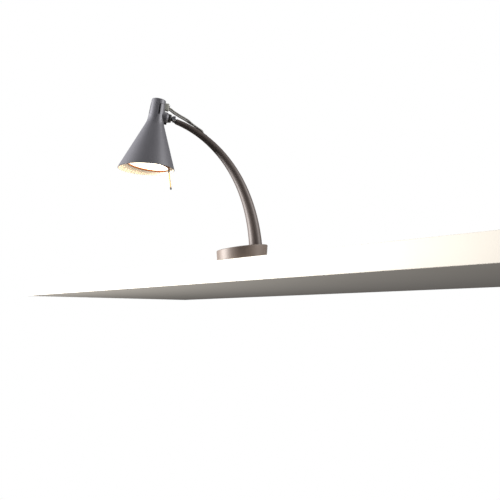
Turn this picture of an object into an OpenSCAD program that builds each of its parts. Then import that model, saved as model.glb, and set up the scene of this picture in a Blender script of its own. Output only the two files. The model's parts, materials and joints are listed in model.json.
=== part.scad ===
/* [Base] */
// Radius of the base at its lower rim
base_r = 28.9; // [27.5:0.1:31]
// Radius of the base at the mean height of its top
base_top_r = 30; // [29:0.1:32]
// Mean height of the rim of the slanted top
base_h = 15.1; // [14.5:0.1:18]
// Slope of the top, rising towards the arm, in degrees
base_slope = 7.2; // [5:0.1:8]
// Radius of the shallow dome on the top
dome_r = 250; // [220:5:400]
// Wall of the base housing
base_wall = 1.6; // [1.4:0.1:1.8]

/* [Wall plate] */
// Thickness of the mounting plate
plate_t = 3; // [2.8:0.1:3.4]
// Distance between the two mounting screw holes
mount_pitch = 36; // [34:0.5:38]
// Radius of a mounting screw hole
mount_hole_r = 2.1; // [1.8:0.1:2.4]

/* [Arm] */
// Length of the arm along its centre line
arm_len = 183.5; // [181:0.5:185]
// Radius of the arm at its foot
arm_r = 7.8; // [7.4:0.1:8.2]
// Radius of the arm at its tip
arm_tip_r = 3.25; // [3.1:0.05:3.5]
// Wall of the arm tube
arm_wall = 1; // [0.8:0.1:1.1]

/* [Head] */
// Lean of the head's axis from upright, in degrees
head_lean = 8.4; // [7:0.1:10]
// Radius of the neck where the cap sits on it
neck_r = 8.4; // [8.2:0.1:8.8]
// Half angle of the cone, in degrees
cone_half = 21.9; // [21.5:0.1:22.5]
// Wall of the spun shade
shade_wall = 1; // [0.9:0.1:1.1]
// Distance from the cone's apex to the mouth, along the axis, on the arm's side
mouth_near = 77.4; // [77:0.1:80]
// Slant of the mouth across the axis, in degrees
mouth_slant = 6.8; // [5:0.1:8]

/* [Joint] */
// Distance from the head's axis to the hinge screw
hinge_reach = 21; // [20.8:0.1:21.5]
// Distance from the cone's apex down to the swivel axis
joint_drop = 16.8; // [16.5:0.1:17]
// Radius of the hinge screw's shank
screw_r = 1.5; // [1.3:0.1:1.6]
// Radius of the swivel stem
stem_r = 2.2; // [2:0.1:2.3]
// Radial running clearance of both joints
running = 0.06; // [0.03:0.01:0.09]

/* [Hidden] */
$fn = 72;

// Colours of the finishes
shade_grey = [0.42, 0.42, 0.45];
arm_grey = [0.36, 0.33, 0.32];
base_grey = [0.52, 0.5, 0.49];
black = [0.06, 0.06, 0.07];
steel = [0.72, 0.72, 0.74];
brass = [0.78, 0.62, 0.3];
ceramic = [0.93, 0.92, 0.88];

far = 60;            // longer than any local cut needs
skin = 0.01;         // overlap that makes a cut or a join clean
face_gap = 0.05;     // gap between flat faces that turn against each other

// ---- Base geometry ----
plate_r = 26.8;
gasket_r = 19.8;
gasket_t = 0.8;
rim_gap = 0.3;       // the housing's rim stops this far above the surface
boss_r = 9.2;        // thick spot of the housing under the arm
inlet_z = 7.4;
inlet_r = 3;
inlet_bore = 1.9;
dome_rise = dome_r - sqrt(dome_r ^ 2 - base_top_r ^ 2);
side_slope = (base_top_r - base_r) / base_h;

// ---- Clip geometry ----
clip_angles = [0, 120, 240];
clip_t = 0.6;
clip_w = 6;
ledge_r = 25.6;
ledge_z = 4.2;
ledge_t = 1.4;
clip_top = ledge_z + ledge_t + 0.1;
rivet_at = 20.6;
rivet_r = 1;

// ---- Terminal block geometry ----
block_at = [-13, 0, plate_t];
block_size = [12, 16, 8];
pole_x = 3.4;
pole_y = 3.6;

// ---- Arm geometry: the lean from upright grows along the centre line ----
foot = [16.3, 0, 18.2];
lean_start = 4.3;
lean_rate = 0.2225;
lean_growth = 0.000734;
arm_steps = 44;
arm_step = arm_len / arm_steps;
arm_sides = 24;

function arm_lean(s) = lean_start + lean_rate * s + lean_growth * s * s;
function arm_way(s) = [-sin(arm_lean(s)), 0, cos(arm_lean(s))];
function arm_out(s) = [cos(arm_lean(s)), 0, sin(arm_lean(s))];
function arm_radius(s) = arm_r + (arm_tip_r - arm_r) * s / arm_len;
// Points of the centre line at equal steps, by adding up short chords
function arm_line(step, count) = [
    for (i = 0, p = foot; i <= count; p = p + step * arm_way((i + 0.5) * step), i = i + 1) p
];
function arm_at(s) = let (line = arm_line(s / 40, 40)) line[40];

tip = arm_at(arm_len);
tip_lean = arm_lean(arm_len);

// ---- Arm socket stack, measured along the arm from its foot ----
socket_bore = 3.2;
socket_shank_r = 5;
socket_flange = [8.3, 1.2];
washer_from = -4.2;
washer_t = 1;
nut_t = 4;
socket_end = -10;
spigot = [arm_r - arm_wall - 0.7, 8];   // radius and length inside the tube

// ---- Head geometry ----
apex = [-99.2, 0, 186.6];
hinge = apex + hinge_reach * [cos(head_lean), 0, -sin(head_lean)]
    - joint_drop * [sin(head_lean), 0, cos(head_lean)];
cap_top = 2.9;
cap_seam = -2.6;
cap_crown = 1;            // rise of the cap's domed top
cap_edge = 1.1;
neck_widens = 0.048;      // radius gained by the neck for each mm down
blend_r = 30;             // radius of the curve from neck to cone
cone_slope = tan(cone_half);
neck_angle = atan(neck_widens);
shade_end = mouth_near + 10;
slot_angles = [108, 198, 288];
slot_w = 1.8;
slot_top = -3.2;
slot_len = 12.8;
lead_hole = [9, -5.6];    // where the leads go into the neck, in the head's plane

// Radius of the neck's line and of the cone's line, s below the apex, inset from the outside
function neck_line(s, inset) = neck_r + (cap_top + s) * neck_widens - inset / cos(neck_angle);
function cone_line(s, inset) = s * cone_slope - inset / cos(cone_half);
function lines_meet(inset) = (neck_r + cap_top * neck_widens - inset / cos(neck_angle)
    + inset / cos(cone_half)) / (cone_slope - neck_widens);
// Outline of the shade from the top of the neck to the mouth, as [radius, height] points
function shade_line(inset, from, to, steps = 12) =
    let (
        turn = cone_half - neck_angle,
        r = blend_r + inset,
        tangent = r * tan(turn / 2),
        meet = lines_meet(inset),
        start = meet - tangent * cos(neck_angle),
        start_r = neck_line(start, inset)
    )
    concat(
        [[neck_line(from, inset), -from]],
        [for (i = [0:steps]) let (a = neck_angle + turn * i / steps) [
            start_r + r * (cos(neck_angle) - cos(a)),
            -(start + r * (sin(a) - sin(neck_angle)))
        ]],
        [[cone_line(to, inset), -to]]
    );
function backwards(list) = [for (i = [len(list) - 1:-1:0]) list[i]];

// ---- Hinge stack, measured along the hinge screw from the arm's plane ----
tongue_r = 2.6;
tongue_half = 1.3;
washer_in = tongue_half + face_gap;
ear_in = washer_in + 0.35;
ear_out = 3.2;
ear_r = 2.9;
collar_t = 1;
plug = [arm_tip_r - arm_wall - 0.35, 5];   // radius and length inside the tube
head_t = 1.5;
screw_head_r = 2.8;
// The hinge as seen from the arm's tip, along its outer normal and along its line
hinge_in_tip = let (d = hinge - tip) [d * arm_out(arm_len), d * arm_way(arm_len)];

// ---- Swivel stack, measured from the head's axis ----
drum_in = 8;
drum_web = 11.2;
drum_out = 14.4;
ring_in = drum_out + face_gap;
ring_out = 16.8;
flange_out = 17.7;
stem_end = 8.2;
drum_r = 6.6;

// ---- Lamp stack, measured down from the cone's apex ----
bracket_s = 30;
bracket_t = 1.2;
holder_s = 34.5;
holder_len = 11;
holder_half = [6, 8.1];
reflector_s = holder_s + holder_len;
flange_s = 73.4;
glass_s = 74;
glass_t = 2;
glass_r = 24.2;
ring_r = 25.6;
ring_top = 72;
ring_end = 78;
lip_r = 23.6;
bulb_r = 4.5;
reflector_back_r = 9;
reflector_front_r = 22.8;
reflector_wall = 0.6;
reflector_screw_y = 6.6;
holder_screw_s = 40;
tie_r = 2.4;
relief_screw_z = -1.9;

// ---- Handle rod, in the head's plane ----
rod_from = [24.4, -ring_end];
rod_out = 15.5;
rod_len = 22.4;
rod_r = 0.6;

// ---- Leads ----
lead_r = 1;               // a free lead in its sleeve
wire_r = 0.7;             // the same lead inside the arm and the head
lead_sides = 8;
lead_half = 1.05;         // half the distance between the two leads
exit_s = 151;
lead_dive = 62;           // how steeply the leads enter the arm, in degrees
grommet_size = [8, 4.8];
grommet_from = -6.4;      // where the grommet starts along the arm, from the leads' entry
grommet_lift = 0.15;
// Route midway between the free leads, from the head's strain relief to the arm, as [X, Z] points
lead_route = [
    [-87.2, 179.2], [-86.4, 179.1], [-85.1, 178.4], [-83.3, 176.9], [-81.3, 175.4], [-79, 173.9],
    [-76.5, 172.4], [-74, 170.9], [-71.4, 169.5], [-68.8, 168.1], [-66.3, 166.6], [-64, 165.1],
    [-61.9, 163.6], [-59.6, 162], [-57, 160.3], [-54.1, 158.3], [-51.4, 156.5], [-49.3, 155.1],
    [-47.6, 153.8], [-46.8, 152.3]
];
lead_end = len(lead_route) - 1;
lead_entry = lead_route[lead_end];
// The leads lie one above the other as far as this point, and side by side from the next one on
twist_from = 9;
twist_to = 14;
function lead_twist(i) = let (t = min(1, max(0, (i - twist_from) / (twist_to - twist_from))))
    90 * (1 - t * t * (3 - 2 * t));
function lead_normal(i) = let (
    d = lead_route[min(i + 1, lead_end)] - lead_route[max(i - 1, 0)]
) [-d[1], d[0]] / norm(d);
// The points of one free lead: side is 1 for the upper one and -1 for the lower one
function lead_points(side) = [for (i = [0:lead_end]) let (
    p = lead_route[i] + side * lead_half * sin(lead_twist(i)) * lead_normal(i)
) [p[0], -side * lead_half * cos(lead_twist(i)), p[1]]];
// Where the leads run inside the arm, from the entry down to the terminal block
arm_lead_top = [[-46.8, 152.3], [-45.9, 150.6], [-45, 148.7], [-43.8, 146.7], [-42, 144.3], [-39.6, 141.7]];
arm_lead_bottom = [[17.1, 9.6], [16.6, 7.4], [14.6, 5.7], [10.5, 5.2], [4, 5.4], [-3, 5.8], [-6.9, 6]];
// Where the leads run inside the head, in the head's plane
holder_route = [[9, -5.6], [7.4, -6.2], [6.4, -8.8], [5.8, -13], [5.8, -18], [6, -24], [6.4, -29], [6.4, -32], [4.6, -34.5]];
holder_twist = [90, 45, 10, 0, 0, 0, 0, 0, 0];
holder_spread = 1.4;      // how much further apart the leads are at the lamp holder

// ======== Frames ========
module in_head() {
    translate(apex) rotate([0, head_lean, 0]) children();
}
// Places children with their Z along the swivel axis, measured from the head's axis
module on_swivel() {
    in_head() translate([0, 0, -joint_drop]) rotate([0, 90, 0]) children();
}
module at_arm(s) {
    translate(arm_at(s)) rotate([0, -arm_lean(s), 0]) children();
}
module at_foot() {
    translate(foot) rotate([0, -lean_start, 0]) children();
}
// Extrudes a flat shape drawn in X and Z, centred on the arm's plane
module in_plane(width) {
    rotate([90, 0, 0]) linear_extrude(width, center = true) children();
}
module both_sides() {
    for (side = [-1, 1]) scale([1, side, 1]) children();
}

// ======== Shared shapes ========
module ring(outer, inner, height) {
    difference() {
        cylinder(r = outer, h = height);
        translate([0, 0, -skin]) cylinder(r = inner, h = height + 2 * skin);
    }
}
module hexagon(flats, height) {
    cylinder(r = flats / (2 * cos(30)), h = height, $fn = 6);
}
// A tube or rod swept along points, with one radius for each point
// The end faces stand across the line, or across the two ways given for the ends
module sweep(points, radii, sides, ends = [undef, undef]) {
    last = len(points) - 1;
    function chord(i) = let (
        a = points[max(i - 1, 0)], b = points[min(i + 1, last)]
    ) (b - a) / norm(b - a);
    function way(i) = i == 0 && ends[0] != undef ? ends[0] : i == last && ends[1] != undef ? ends[1] : chord(i);
    rings = [for (i = [0:last]) let (
        t = way(i), v = [0, 1, 0] - t * t[1], across = v / norm(v), up = cross(t, across)
    ) [for (j = [0:sides - 1]) let (a = -360 * j / sides)
        points[i] + radii[i] * (cos(a) * up + sin(a) * across)]];
    polyhedron(
        points = [for (r = rings) each r],
        faces = concat(
            [[for (j = [0:sides - 1]) j]],
            [for (i = [0:last - 1], j = [0:sides - 1]) let (k = (j + 1) % sides)
                [i * sides + j, (i + 1) * sides + j, (i + 1) * sides + k, i * sides + k]],
            [[for (j = [sides - 1:-1:0]) last * sides + j]]
        )
    );
}
module lead(points, r) {
    sweep(points, [for (p = points) r], lead_sides);
}
function beside(route, y) = [for (p = route) [p[0], y, p[1]]];

// ======== Base ========
// Solid inside the base's outer faces, drawn in by a margin
module puck(margin, from) {
    intersection() {
        translate([0, 0, from]) cylinder(
            r1 = base_r + side_slope * from - margin,
            r2 = base_r + side_slope * 30 - margin,
            h = 30 - from
        );
        translate([0, 0, base_h]) rotate([0, -base_slope, 0]) rotate_extrude() polygon(concat(
            [[0, -40]], [[40, -40]],
            [for (i = [8:-1:0]) let (a = asin(40 / dome_r) * i / 8)
                [dome_r * sin(a), dome_rise - dome_r + dome_r * cos(a) - margin]]
        ));
    }
}
module clip_ledges() {
    for (a = clip_angles) rotate(a) intersection() {
        translate([0, 0, ledge_z]) ring(base_r - base_wall / 2, ledge_r, ledge_t);
        translate([15, -clip_w / 2 - 1, 0]) cube([15, clip_w + 2, 10]);
    }
}
module base_housing() {
    color(base_grey) difference() {
        union() {
            difference() {
                puck(0, rim_gap);
                puck(base_wall, rim_gap - 1);
            }
            intersection() {
                puck(base_wall / 2, rim_gap);
                at_foot() translate([0, 0, washer_from]) cylinder(r = boss_r, h = 20);
            }
            clip_ledges();
        }
        at_foot() {
            translate([0, 0, -socket_flange[1]]) cylinder(r = socket_flange[0], h = 20);
            translate([0, 0, -20]) cylinder(r = socket_shank_r, h = 40);
        }
        translate([0, 0, inlet_z]) rotate([-90, 0, 0]) cylinder(r = inlet_r, h = far);
    }
}
module mounting_plate() {
    color(steel) difference() {
        union() {
            cylinder(r = gasket_r, h = plate_t);
            translate([0, 0, gasket_t]) cylinder(r = plate_r, h = plate_t - gasket_t);
        }
        for (y = [-mount_pitch, mount_pitch] / 2) translate([0, y, 0]) {
            translate([0, 0, -1]) cylinder(r = mount_hole_r, h = far);
            translate([0, 0, 1.3]) cylinder(r1 = mount_hole_r, r2 = mount_hole_r + 2, h = 2);
        }
        for (a = clip_angles) rotate(a) translate([rivet_at, 0, -1]) cylinder(r = rivet_r, h = far);
    }
}
module base_gasket() {
    color(black) difference() {
        ring(plate_r, gasket_r, gasket_t);
        for (y = [-mount_pitch, mount_pitch] / 2) translate([0, y, -1]) cylinder(r = 4.2, h = 4);
    }
}
module plate_clips() {
    color(steel) for (a = clip_angles) rotate(a) difference() {
        translate([0, clip_w / 2, 0]) rotate([90, 0, 0]) linear_extrude(clip_w) polygon([
            [18, plate_t], [25.1, plate_t], [25.1, clip_top], [26.6, clip_top],
            [25.6, clip_top + clip_t], [24.5, clip_top + clip_t],
            [24.5, plate_t + clip_t], [18, plate_t + clip_t]
        ]);
        translate([rivet_at, 0, 0]) cylinder(r = rivet_r, h = far);
    }
}
module clip_rivets() {
    color(steel) for (a = clip_angles) rotate(a) translate([rivet_at, 0, 0]) {
        translate([0, 0, gasket_t]) cylinder(r = rivet_r, h = plate_t + clip_t - gasket_t + 0.2);
        translate([0, 0, plate_t + clip_t]) cylinder(r1 = 1.8, r2 = 1.3, h = 0.7);
    }
}
module lead_inlet() {
    color(black) translate([0, 0, inlet_z]) rotate([-90, 0, 0]) difference() {
        union() {
            translate([0, 0, 25.2]) cylinder(r = inlet_r + 1, h = 1.7);
            translate([0, 0, 26]) cylinder(r = inlet_r, h = 4.6);
            translate([0, 0, 30]) cylinder(r1 = inlet_r + 0.8, r2 = inlet_r + 0.4, h = 1);
        }
        cylinder(r = inlet_bore, h = far);
    }
}
module terminal_block() {
    color(ceramic) difference() {
        translate(block_at + [0, 0, block_size[2] / 2]) cube(block_size, center = true);
        for (y = [-pole_y, pole_y]) translate([block_at[0], y, 6]) {
            rotate([0, 90, 0]) cylinder(r = 1.4, h = far, center = true);
            for (x = [-pole_x, pole_x]) translate([x, 0, 0]) cylinder(r = 1.3, h = far);
        }
        translate([block_at[0], 0, plate_t + 4]) cylinder(r = 1.6, h = far);
        translate([block_at[0], 0, 0]) cylinder(r = 0.9, h = far);
    }
}
module terminal_screws() {
    color(brass) {
        for (x = [-pole_x, pole_x], y = [-pole_y, pole_y])
            translate([block_at[0] + x, y, 6.9]) difference() {
                cylinder(r = 1.3, h = 3.4);
                translate([-2, -0.2, 2.9]) cube([4, 0.4, 1]);
            }
        translate([block_at[0], 0, plate_t]) cylinder(r = 0.9, h = 4.5);
        translate([block_at[0], 0, plate_t + 4]) cylinder(r = 1.6, h = 1.2);
    }
}
module arm_socket() {
    color(steel) at_foot() difference() {
        union() {
            cylinder(r = spigot[0], h = spigot[1]);
            translate([0, 0, -socket_flange[1]]) cylinder(r = socket_flange[0], h = socket_flange[1]);
            translate([0, 0, socket_end]) cylinder(r = socket_shank_r, h = -socket_end);
        }
        translate([0, 0, -20]) cylinder(r = socket_bore, h = 40);
    }
}
module socket_washer() {
    color(steel) at_foot() translate([0, 0, washer_from - washer_t])
        ring(9, socket_shank_r, washer_t);
}
module socket_nut() {
    color(steel) at_foot() translate([0, 0, washer_from - washer_t - nut_t]) difference() {
        hexagon(14, nut_t);
        translate([0, 0, -1]) cylinder(r = socket_shank_r, h = nut_t + 2);
    }
}

// ======== Arm ========
module grommet_block(from, to) {
    at_arm(exit_s) translate([arm_radius(exit_s) + from, -grommet_size[1] / 2, grommet_from])
        cube([to - from, grommet_size[1], grommet_size[0]]);
}
module arm_tube() {
    line = arm_line(arm_step, arm_steps);
    outer = [for (i = [0:arm_steps]) arm_radius(i * arm_step)];
    inner = [for (r = outer) r - arm_wall];
    long = arm_step * 0.5;
    bore = concat([foot - long * arm_way(0)], line, [tip + long * arm_way(arm_len)]);
    bore_r = concat([inner[0]], inner, [inner[arm_steps]]);
    color(arm_grey) difference() {
        sweep(line, outer, arm_sides, [arm_way(0), arm_way(arm_len)]);
        sweep(bore, bore_r, arm_sides);
        grommet_block(-3, 3);
    }
}
module lead_grommet() {
    hole_r = lead_r + 0.02;
    color(black) difference() {
        grommet_block(-1.1, grommet_lift);
        translate([lead_entry[0], 0, lead_entry[1]]) rotate([0, 90 + lead_dive, 0]) {
            cube([2 * hole_r, 2 * lead_half, far], center = true);
            both_sides() translate([0, lead_half, 0]) cylinder(r = hole_r, h = far, center = true);
        }
    }
}
module arm_leads() {
    color(steel) for (y = [-lead_half, lead_half]) lead(concat(
        beside(arm_lead_top, y),
        [for (s = [136:-8:0]) arm_at(s) + [0, y, 0]],
        [for (i = [0:len(arm_lead_bottom) - 1]) let (p = arm_lead_bottom[i])
            [p[0], i < 3 ? y : y + sign(y) * (pole_y - lead_half) * (i - 2) / 4, p[1]]]
    ), wire_r);
}
module tip_fork() {
    color(steel) difference() {
        translate(tip) rotate([0, -tip_lean, 0]) {
            translate([0, 0, -plug[1]]) cylinder(r = plug[0], h = plug[1] + 0.5);
            cylinder(r = arm_tip_r, h = collar_t);
            both_sides() translate([0, (ear_in + ear_out) / 2, 0]) in_plane(ear_out - ear_in) {
                translate(hinge_in_tip) circle(r = ear_r);
                polygon([
                    [-2.4, 0.5], [2.6, 0.5],
                    hinge_in_tip + [ear_r, 0], hinge_in_tip - [ear_r, 0]
                ]);
            }
        }
        translate(hinge) rotate([90, 0, 0]) cylinder(r = screw_r, h = 20, center = true);
    }
}
module hinge_screw() {
    color(steel) translate(hinge) rotate([90, 0, 0]) {
        translate([0, 0, -ear_out - 2.6]) cylinder(r = screw_r, h = 2 * ear_out + 2.7);
        translate([0, 0, ear_out]) difference() {
            rotate_extrude() polygon(concat(
                [[0, 0], [screw_head_r, 0]],
                [for (a = [0:15:90]) [screw_head_r, head_t] + 0.6 * [cos(a) - 1, sin(a) - 1]],
                [[0, head_t]]
            ));
            translate([0, 0, head_t - 0.9]) cylinder(r = 1.25, h = 2, $fn = 6);
        }
    }
}
module hinge_nut() {
    color(steel) translate(hinge + [0, ear_out, 0]) rotate([-90, 0, 0]) difference() {
        hexagon(5.2, 2.2);
        translate([0, 0, -1]) cylinder(r = screw_r, h = 5);
    }
}
module hinge_washers() {
    color(steel) translate(hinge) both_sides() translate([0, ear_in, 0]) rotate([90, 0, 0])
        ring(2.5, screw_r, ear_in - washer_in);
}

// ======== Knuckle ========
module knuckle() {
    color(steel) {
        difference() {
            in_head() translate([hinge_reach, 0, -joint_drop]) in_plane(2 * tongue_half) {
                circle(r = tongue_r);
                translate([flange_out - hinge_reach - 0.1, -tongue_r])
                    square([hinge_reach - flange_out + 0.1, 2 * tongue_r]);
            }
            translate(hinge) rotate([90, 0, 0])
                cylinder(r = screw_r + running, h = 20, center = true);
        }
        on_swivel() {
            translate([0, 0, ring_out]) cylinder(r = 4.6, h = flange_out - ring_out);
            translate([0, 0, stem_end]) cylinder(r = stem_r, h = flange_out - stem_end);
        }
    }
}
module friction_ring() {
    color(black) on_swivel() translate([0, 0, ring_in]) difference() {
        cylinder(r1 = 5.2, r2 = 4.9, h = ring_out - ring_in);
        translate([0, 0, -1]) cylinder(r = stem_r, h = 5);
    }
}
module swivel_washer() {
    color(steel) on_swivel() translate([0, 0, drum_web - face_gap - 0.4]) ring(3.8, stem_r, 0.4);
}
module swivel_nut() {
    color(steel) on_swivel() translate([0, 0, drum_web - face_gap - 0.4 - 2]) difference() {
        hexagon(6.4, 2);
        translate([0, 0, -1]) cylinder(r = stem_r, h = 5);
    }
}

// ======== Head ========
// Everything inside the shade's outer face
module shade_solid(inset) {
    rotate_extrude($fn = 120) polygon(concat(
        [[0, 10]], [[neck_line(-10, inset), 10]], shade_line(inset, -9.9, shade_end),
        [[0, -shade_end]]
    ));
}
module swivel_drum() {
    color(shade_grey) difference() {
        on_swivel() difference() {
            union() {
                translate([0, 0, drum_in]) cylinder(r = drum_r, h = 3.6);
                translate([0, 0, drum_in + 3.6]) rotate_extrude() polygon(concat(
                    [[0, 0]],
                    [for (a = [0:10:60]) [drum_r - 3 + 3 * cos(a), 3 * sin(a)]],
                    [[5.1, drum_out - drum_in - 3.6], [0, drum_out - drum_in - 3.6]]
                ));
            }
            cylinder(r = 4.2, h = drum_web);
            cylinder(r = stem_r + running, h = far);
        }
        in_head() shade_solid(0);
    }
}
module stop_lug() {
    color(black) difference() {
        in_head() translate([8.4, -1.6, -joint_drop - drum_r - 1.4]) cube([4.6, 3.2, 3.4]);
        in_head() shade_solid(0);
        on_swivel() cylinder(r = drum_r, h = 30);
    }
}
module shade() {
    color(shade_grey) difference() {
        in_head() difference() {
            rotate_extrude($fn = 120) polygon(concat(
                shade_line(0, -cap_seam, shade_end),
                backwards(shade_line(shade_wall, -cap_seam, shade_end))
            ));
            translate([31.1, 0, -mouth_near]) rotate([0, -mouth_slant, 0])
                translate([-90, -50, -40]) cube([120, 100, 40]);
            for (a = slot_angles) rotate(a)
                translate([4, -slot_w / 2, slot_top - slot_len]) cube([10, slot_w, slot_len]);
            translate([0, 0, lead_hole[1]]) rotate([0, 90, 0]) cylinder(r = 1.9, h = 20);
        }
        on_swivel() cylinder(r = 4.2, h = 20);
    }
}
module top_cap() {
    bottom_r = neck_line(-cap_seam, 0);
    spigot_r = neck_line(-cap_seam, shade_wall) - 0.05;
    crown_r = (neck_r ^ 2 + cap_crown ^ 2) / (2 * cap_crown);
    crown_z = cap_top + cap_crown - crown_r;
    edge_at = neck_r - cap_edge;
    edge_turn = acos(edge_at / (crown_r - cap_edge));
    edge_z = crown_z + sqrt((crown_r - cap_edge) ^ 2 - edge_at ^ 2);
    color(shade_grey) in_head() rotate_extrude($fn = 96) polygon(concat(
        [[bottom_r, cap_seam]],
        [for (i = [0:6]) let (a = edge_turn * i / 6) [edge_at + cap_edge * cos(a), edge_z + cap_edge * sin(a)]],
        [for (i = [1:8]) let (a = edge_turn + (90 - edge_turn) * i / 8) [crown_r * cos(a), crown_z + crown_r * sin(a)]],
        [[0, 1.4], [2.4, 1.4], [2.4, -4.4], [4.6, -4.4], [4.6, 1],
         [spigot_r - 1, 1], [spigot_r - 1, -3.4], [spigot_r, -3.4], [spigot_r, cap_seam]]
    ));
}
module tie_rod() {
    color(steel) in_head() translate([0, 0, -bracket_s - 4.2]) cylinder(r = tie_r, h = bracket_s + 5.4);
}
module tie_nut() {
    color(steel) in_head() translate([0, 0, -bracket_s - bracket_t - 2.6]) difference() {
        hexagon(8, 2.6);
        translate([0, 0, -1]) cylinder(r = tie_r, h = 5);
    }
}
module holder_bracket() {
    leg = [8, 1, 13];
    color(steel) in_head() difference() {
        union() {
            translate([0, 0, -bracket_s - bracket_t]) cylinder(r = 10.9, h = bracket_t);
            both_sides() translate([-leg[0] / 2, holder_half[1], -bracket_s - leg[2]]) cube(leg);
        }
        translate([0, 0, -far]) cylinder(r = tie_r, h = far);
        for (a = [0, 180]) rotate(a) translate([6.4, 0, -far]) cylinder(r = 2.2, h = far);
        translate([0, 0, -holder_screw_s]) rotate([90, 0, 0]) cylinder(r = 1.2, h = far, center = true);
    }
}
module lamp_holder() {
    color(ceramic) in_head() difference() {
        translate([-holder_half[0], -holder_half[1], -holder_s - holder_len])
            cube([2 * holder_half[0], 2 * holder_half[1], holder_len]);
        for (y = [-2, 2]) translate([0, y, -reflector_s - 1]) cylinder(r = 0.55, h = 8);
        both_sides() translate([0, 4.6, -holder_screw_s]) rotate([-90, 0, 0]) cylinder(r = 1.2, h = 10);
        both_sides() translate([0, reflector_screw_y, -reflector_s - 1]) cylinder(r = 0.7, h = 4);
        both_sides() translate([4.6, lead_half * holder_spread, -holder_s - 2]) cylinder(r = 1.1, h = 8);
    }
}
module holder_screws() {
    color(steel) in_head() both_sides() translate([0, holder_half[1] + 1, -holder_screw_s]) rotate([-90, 0, 0]) {
        translate([0, 0, -4]) cylinder(r = 1.2, h = 4.2);
        cylinder(r1 = 2.2, r2 = 1.6, h = 1);
    }
}
module holder_leads() {
    last = len(holder_route) - 1;
    color(ceramic) in_head() for (side = [-1, 1]) lead([
        for (i = [0:last]) let (
            p = holder_route[i], a = holder_twist[i], apart = lead_half * (1 + (holder_spread - 1) * i / last)
        ) [p[0], -side * apart * cos(a), p[1] + side * apart * sin(a)]
    ], wire_r);
}
module strain_relief() {
    top = 0;
    bottom = -8.2;
    out = 12.9;
    color(shade_grey) in_head() difference() {
        in_plane(6.4) polygon([
            [7, top], [11.2, top], [out, top - 1.6], [out, bottom + 0.8], [out - 0.8, bottom], [7, bottom]
        ]);
        shade_solid(0);
        for (side = [-1, 1]) translate([0, 0, lead_hole[1] + side * lead_half]) rotate([0, 90, 0])
            cylinder(r = wire_r + 0.02, h = 30);
        translate([0, 0, relief_screw_z]) rotate([0, 90, 0]) cylinder(r = 0.9, h = 30);
    }
}
module strain_relief_screw() {
    color(steel) in_head() difference() {
        translate([0, 0, relief_screw_z]) rotate([0, 90, 0]) {
            translate([0, 0, 8.9]) cylinder(r = 0.9, h = 4.2);
            translate([0, 0, 13]) cylinder(r1 = 1.5, r2 = 1.1, h = 0.8);
        }
        shade_solid(0);
    }
}
module bulb() {
    color([0.9, 0.92, 0.95, 0.6]) in_head() {
        translate([0, 0, -reflector_s - 19]) cylinder(r = bulb_r, h = 18);
        translate([0, 0, -reflector_s - 19]) sphere(bulb_r);
    }
}
module bulb_pins() {
    color(steel) in_head() for (y = [-2, 2])
        translate([0, y, -reflector_s - 1]) cylinder(r = 0.5, h = 7);
}
// Bowl radius at a share of the way from its back to its front
function bowl(share) = reflector_back_r + (reflector_front_r - reflector_back_r) * share ^ 0.7;
module reflector() {
    depth = flange_s - reflector_s - reflector_wall;
    bowl_line = [for (i = [0:12]) [bowl(i / 12), -reflector_s - reflector_wall - depth * i / 12]];
    color([0.85, 0.85, 0.87]) in_head() difference() {
        rotate_extrude() polygon(concat(
            [[bulb_r + 0.6, -reflector_s - reflector_wall]], bowl_line,
            [[reflector_front_r, -glass_s], [glass_r, -glass_s], [glass_r, -flange_s]],
            [for (i = [12:-1:0]) bowl_line[i] + [reflector_wall, 0]],
            [[reflector_back_r + reflector_wall, -reflector_s], [bulb_r + 0.6, -reflector_s]]
        ));
        both_sides() translate([0, reflector_screw_y, -reflector_s - 3]) cylinder(r = 0.7, h = 6);
    }
}
module reflector_screws() {
    color(steel) in_head() both_sides() translate([0, reflector_screw_y, -reflector_s - reflector_wall]) {
        translate([0, 0, -0.1]) cylinder(r = 0.7, h = 3);
        translate([0, 0, -0.8]) cylinder(r = 1.3, h = 0.8);
    }
}
module glass_ring() {
    color(brass) in_head() rotate_extrude($fn = 96) polygon([
        [ring_r, -ring_top], [ring_r, -ring_end + 0.3], [ring_r - 0.3, -ring_end],
        [lip_r, -ring_end], [lip_r, -glass_s - glass_t], [glass_r + 0.1, -glass_s - glass_t],
        [glass_r + 0.1, -ring_top]
    ]);
}
module cover_glass() {
    color([0.95, 0.95, 0.9, 0.5]) in_head() translate([0, 0, -glass_s - glass_t])
        cylinder(r = glass_r, h = glass_t);
}
module ring_clips() {
    color(steel) in_head() for (a = [60, 180, 300]) rotate(a) difference() {
        translate([0, 0, -flange_s]) intersection() {
            ring(glass_r + 0.1, reflector_front_r + 0.7, 0.5);
            translate([20, -3, -1]) cube([10, 6, 4]);
        }
    }
}
module rod_frame() {
    in_head() translate([rod_from[0], 0, rod_from[1]]) rotate([0, 180 - rod_out, 0]) children();
}
module rod_socket() {
    color(black) difference() {
        rod_frame() translate([0, 0, -1]) ring(1.2, rod_r, 4);
        in_head() translate([0, -5, -ring_end]) cube([40, 10, 10]);
    }
}
module handle_rod() {
    color(brass) rod_frame() translate([0, 0, 0.6]) cylinder(r = rod_r, h = rod_len - 0.6);
}
module rod_tip() {
    color(black) rod_frame() translate([0, 0, rod_len - 1.6]) difference() {
        union() {
            cylinder(r = 1, h = 1.8);
            translate([0, 0, 1.8]) sphere(1, $fn = 40);
        }
        translate([0, 0, -1]) cylinder(r = rod_r, h = 2.6);
    }
}

// ======== Free leads ========
module lead_upper() {
    color(steel) lead(lead_points(1), lead_r);
}
module lead_lower() {
    color(steel) lead(lead_points(-1), lead_r);
}

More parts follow.
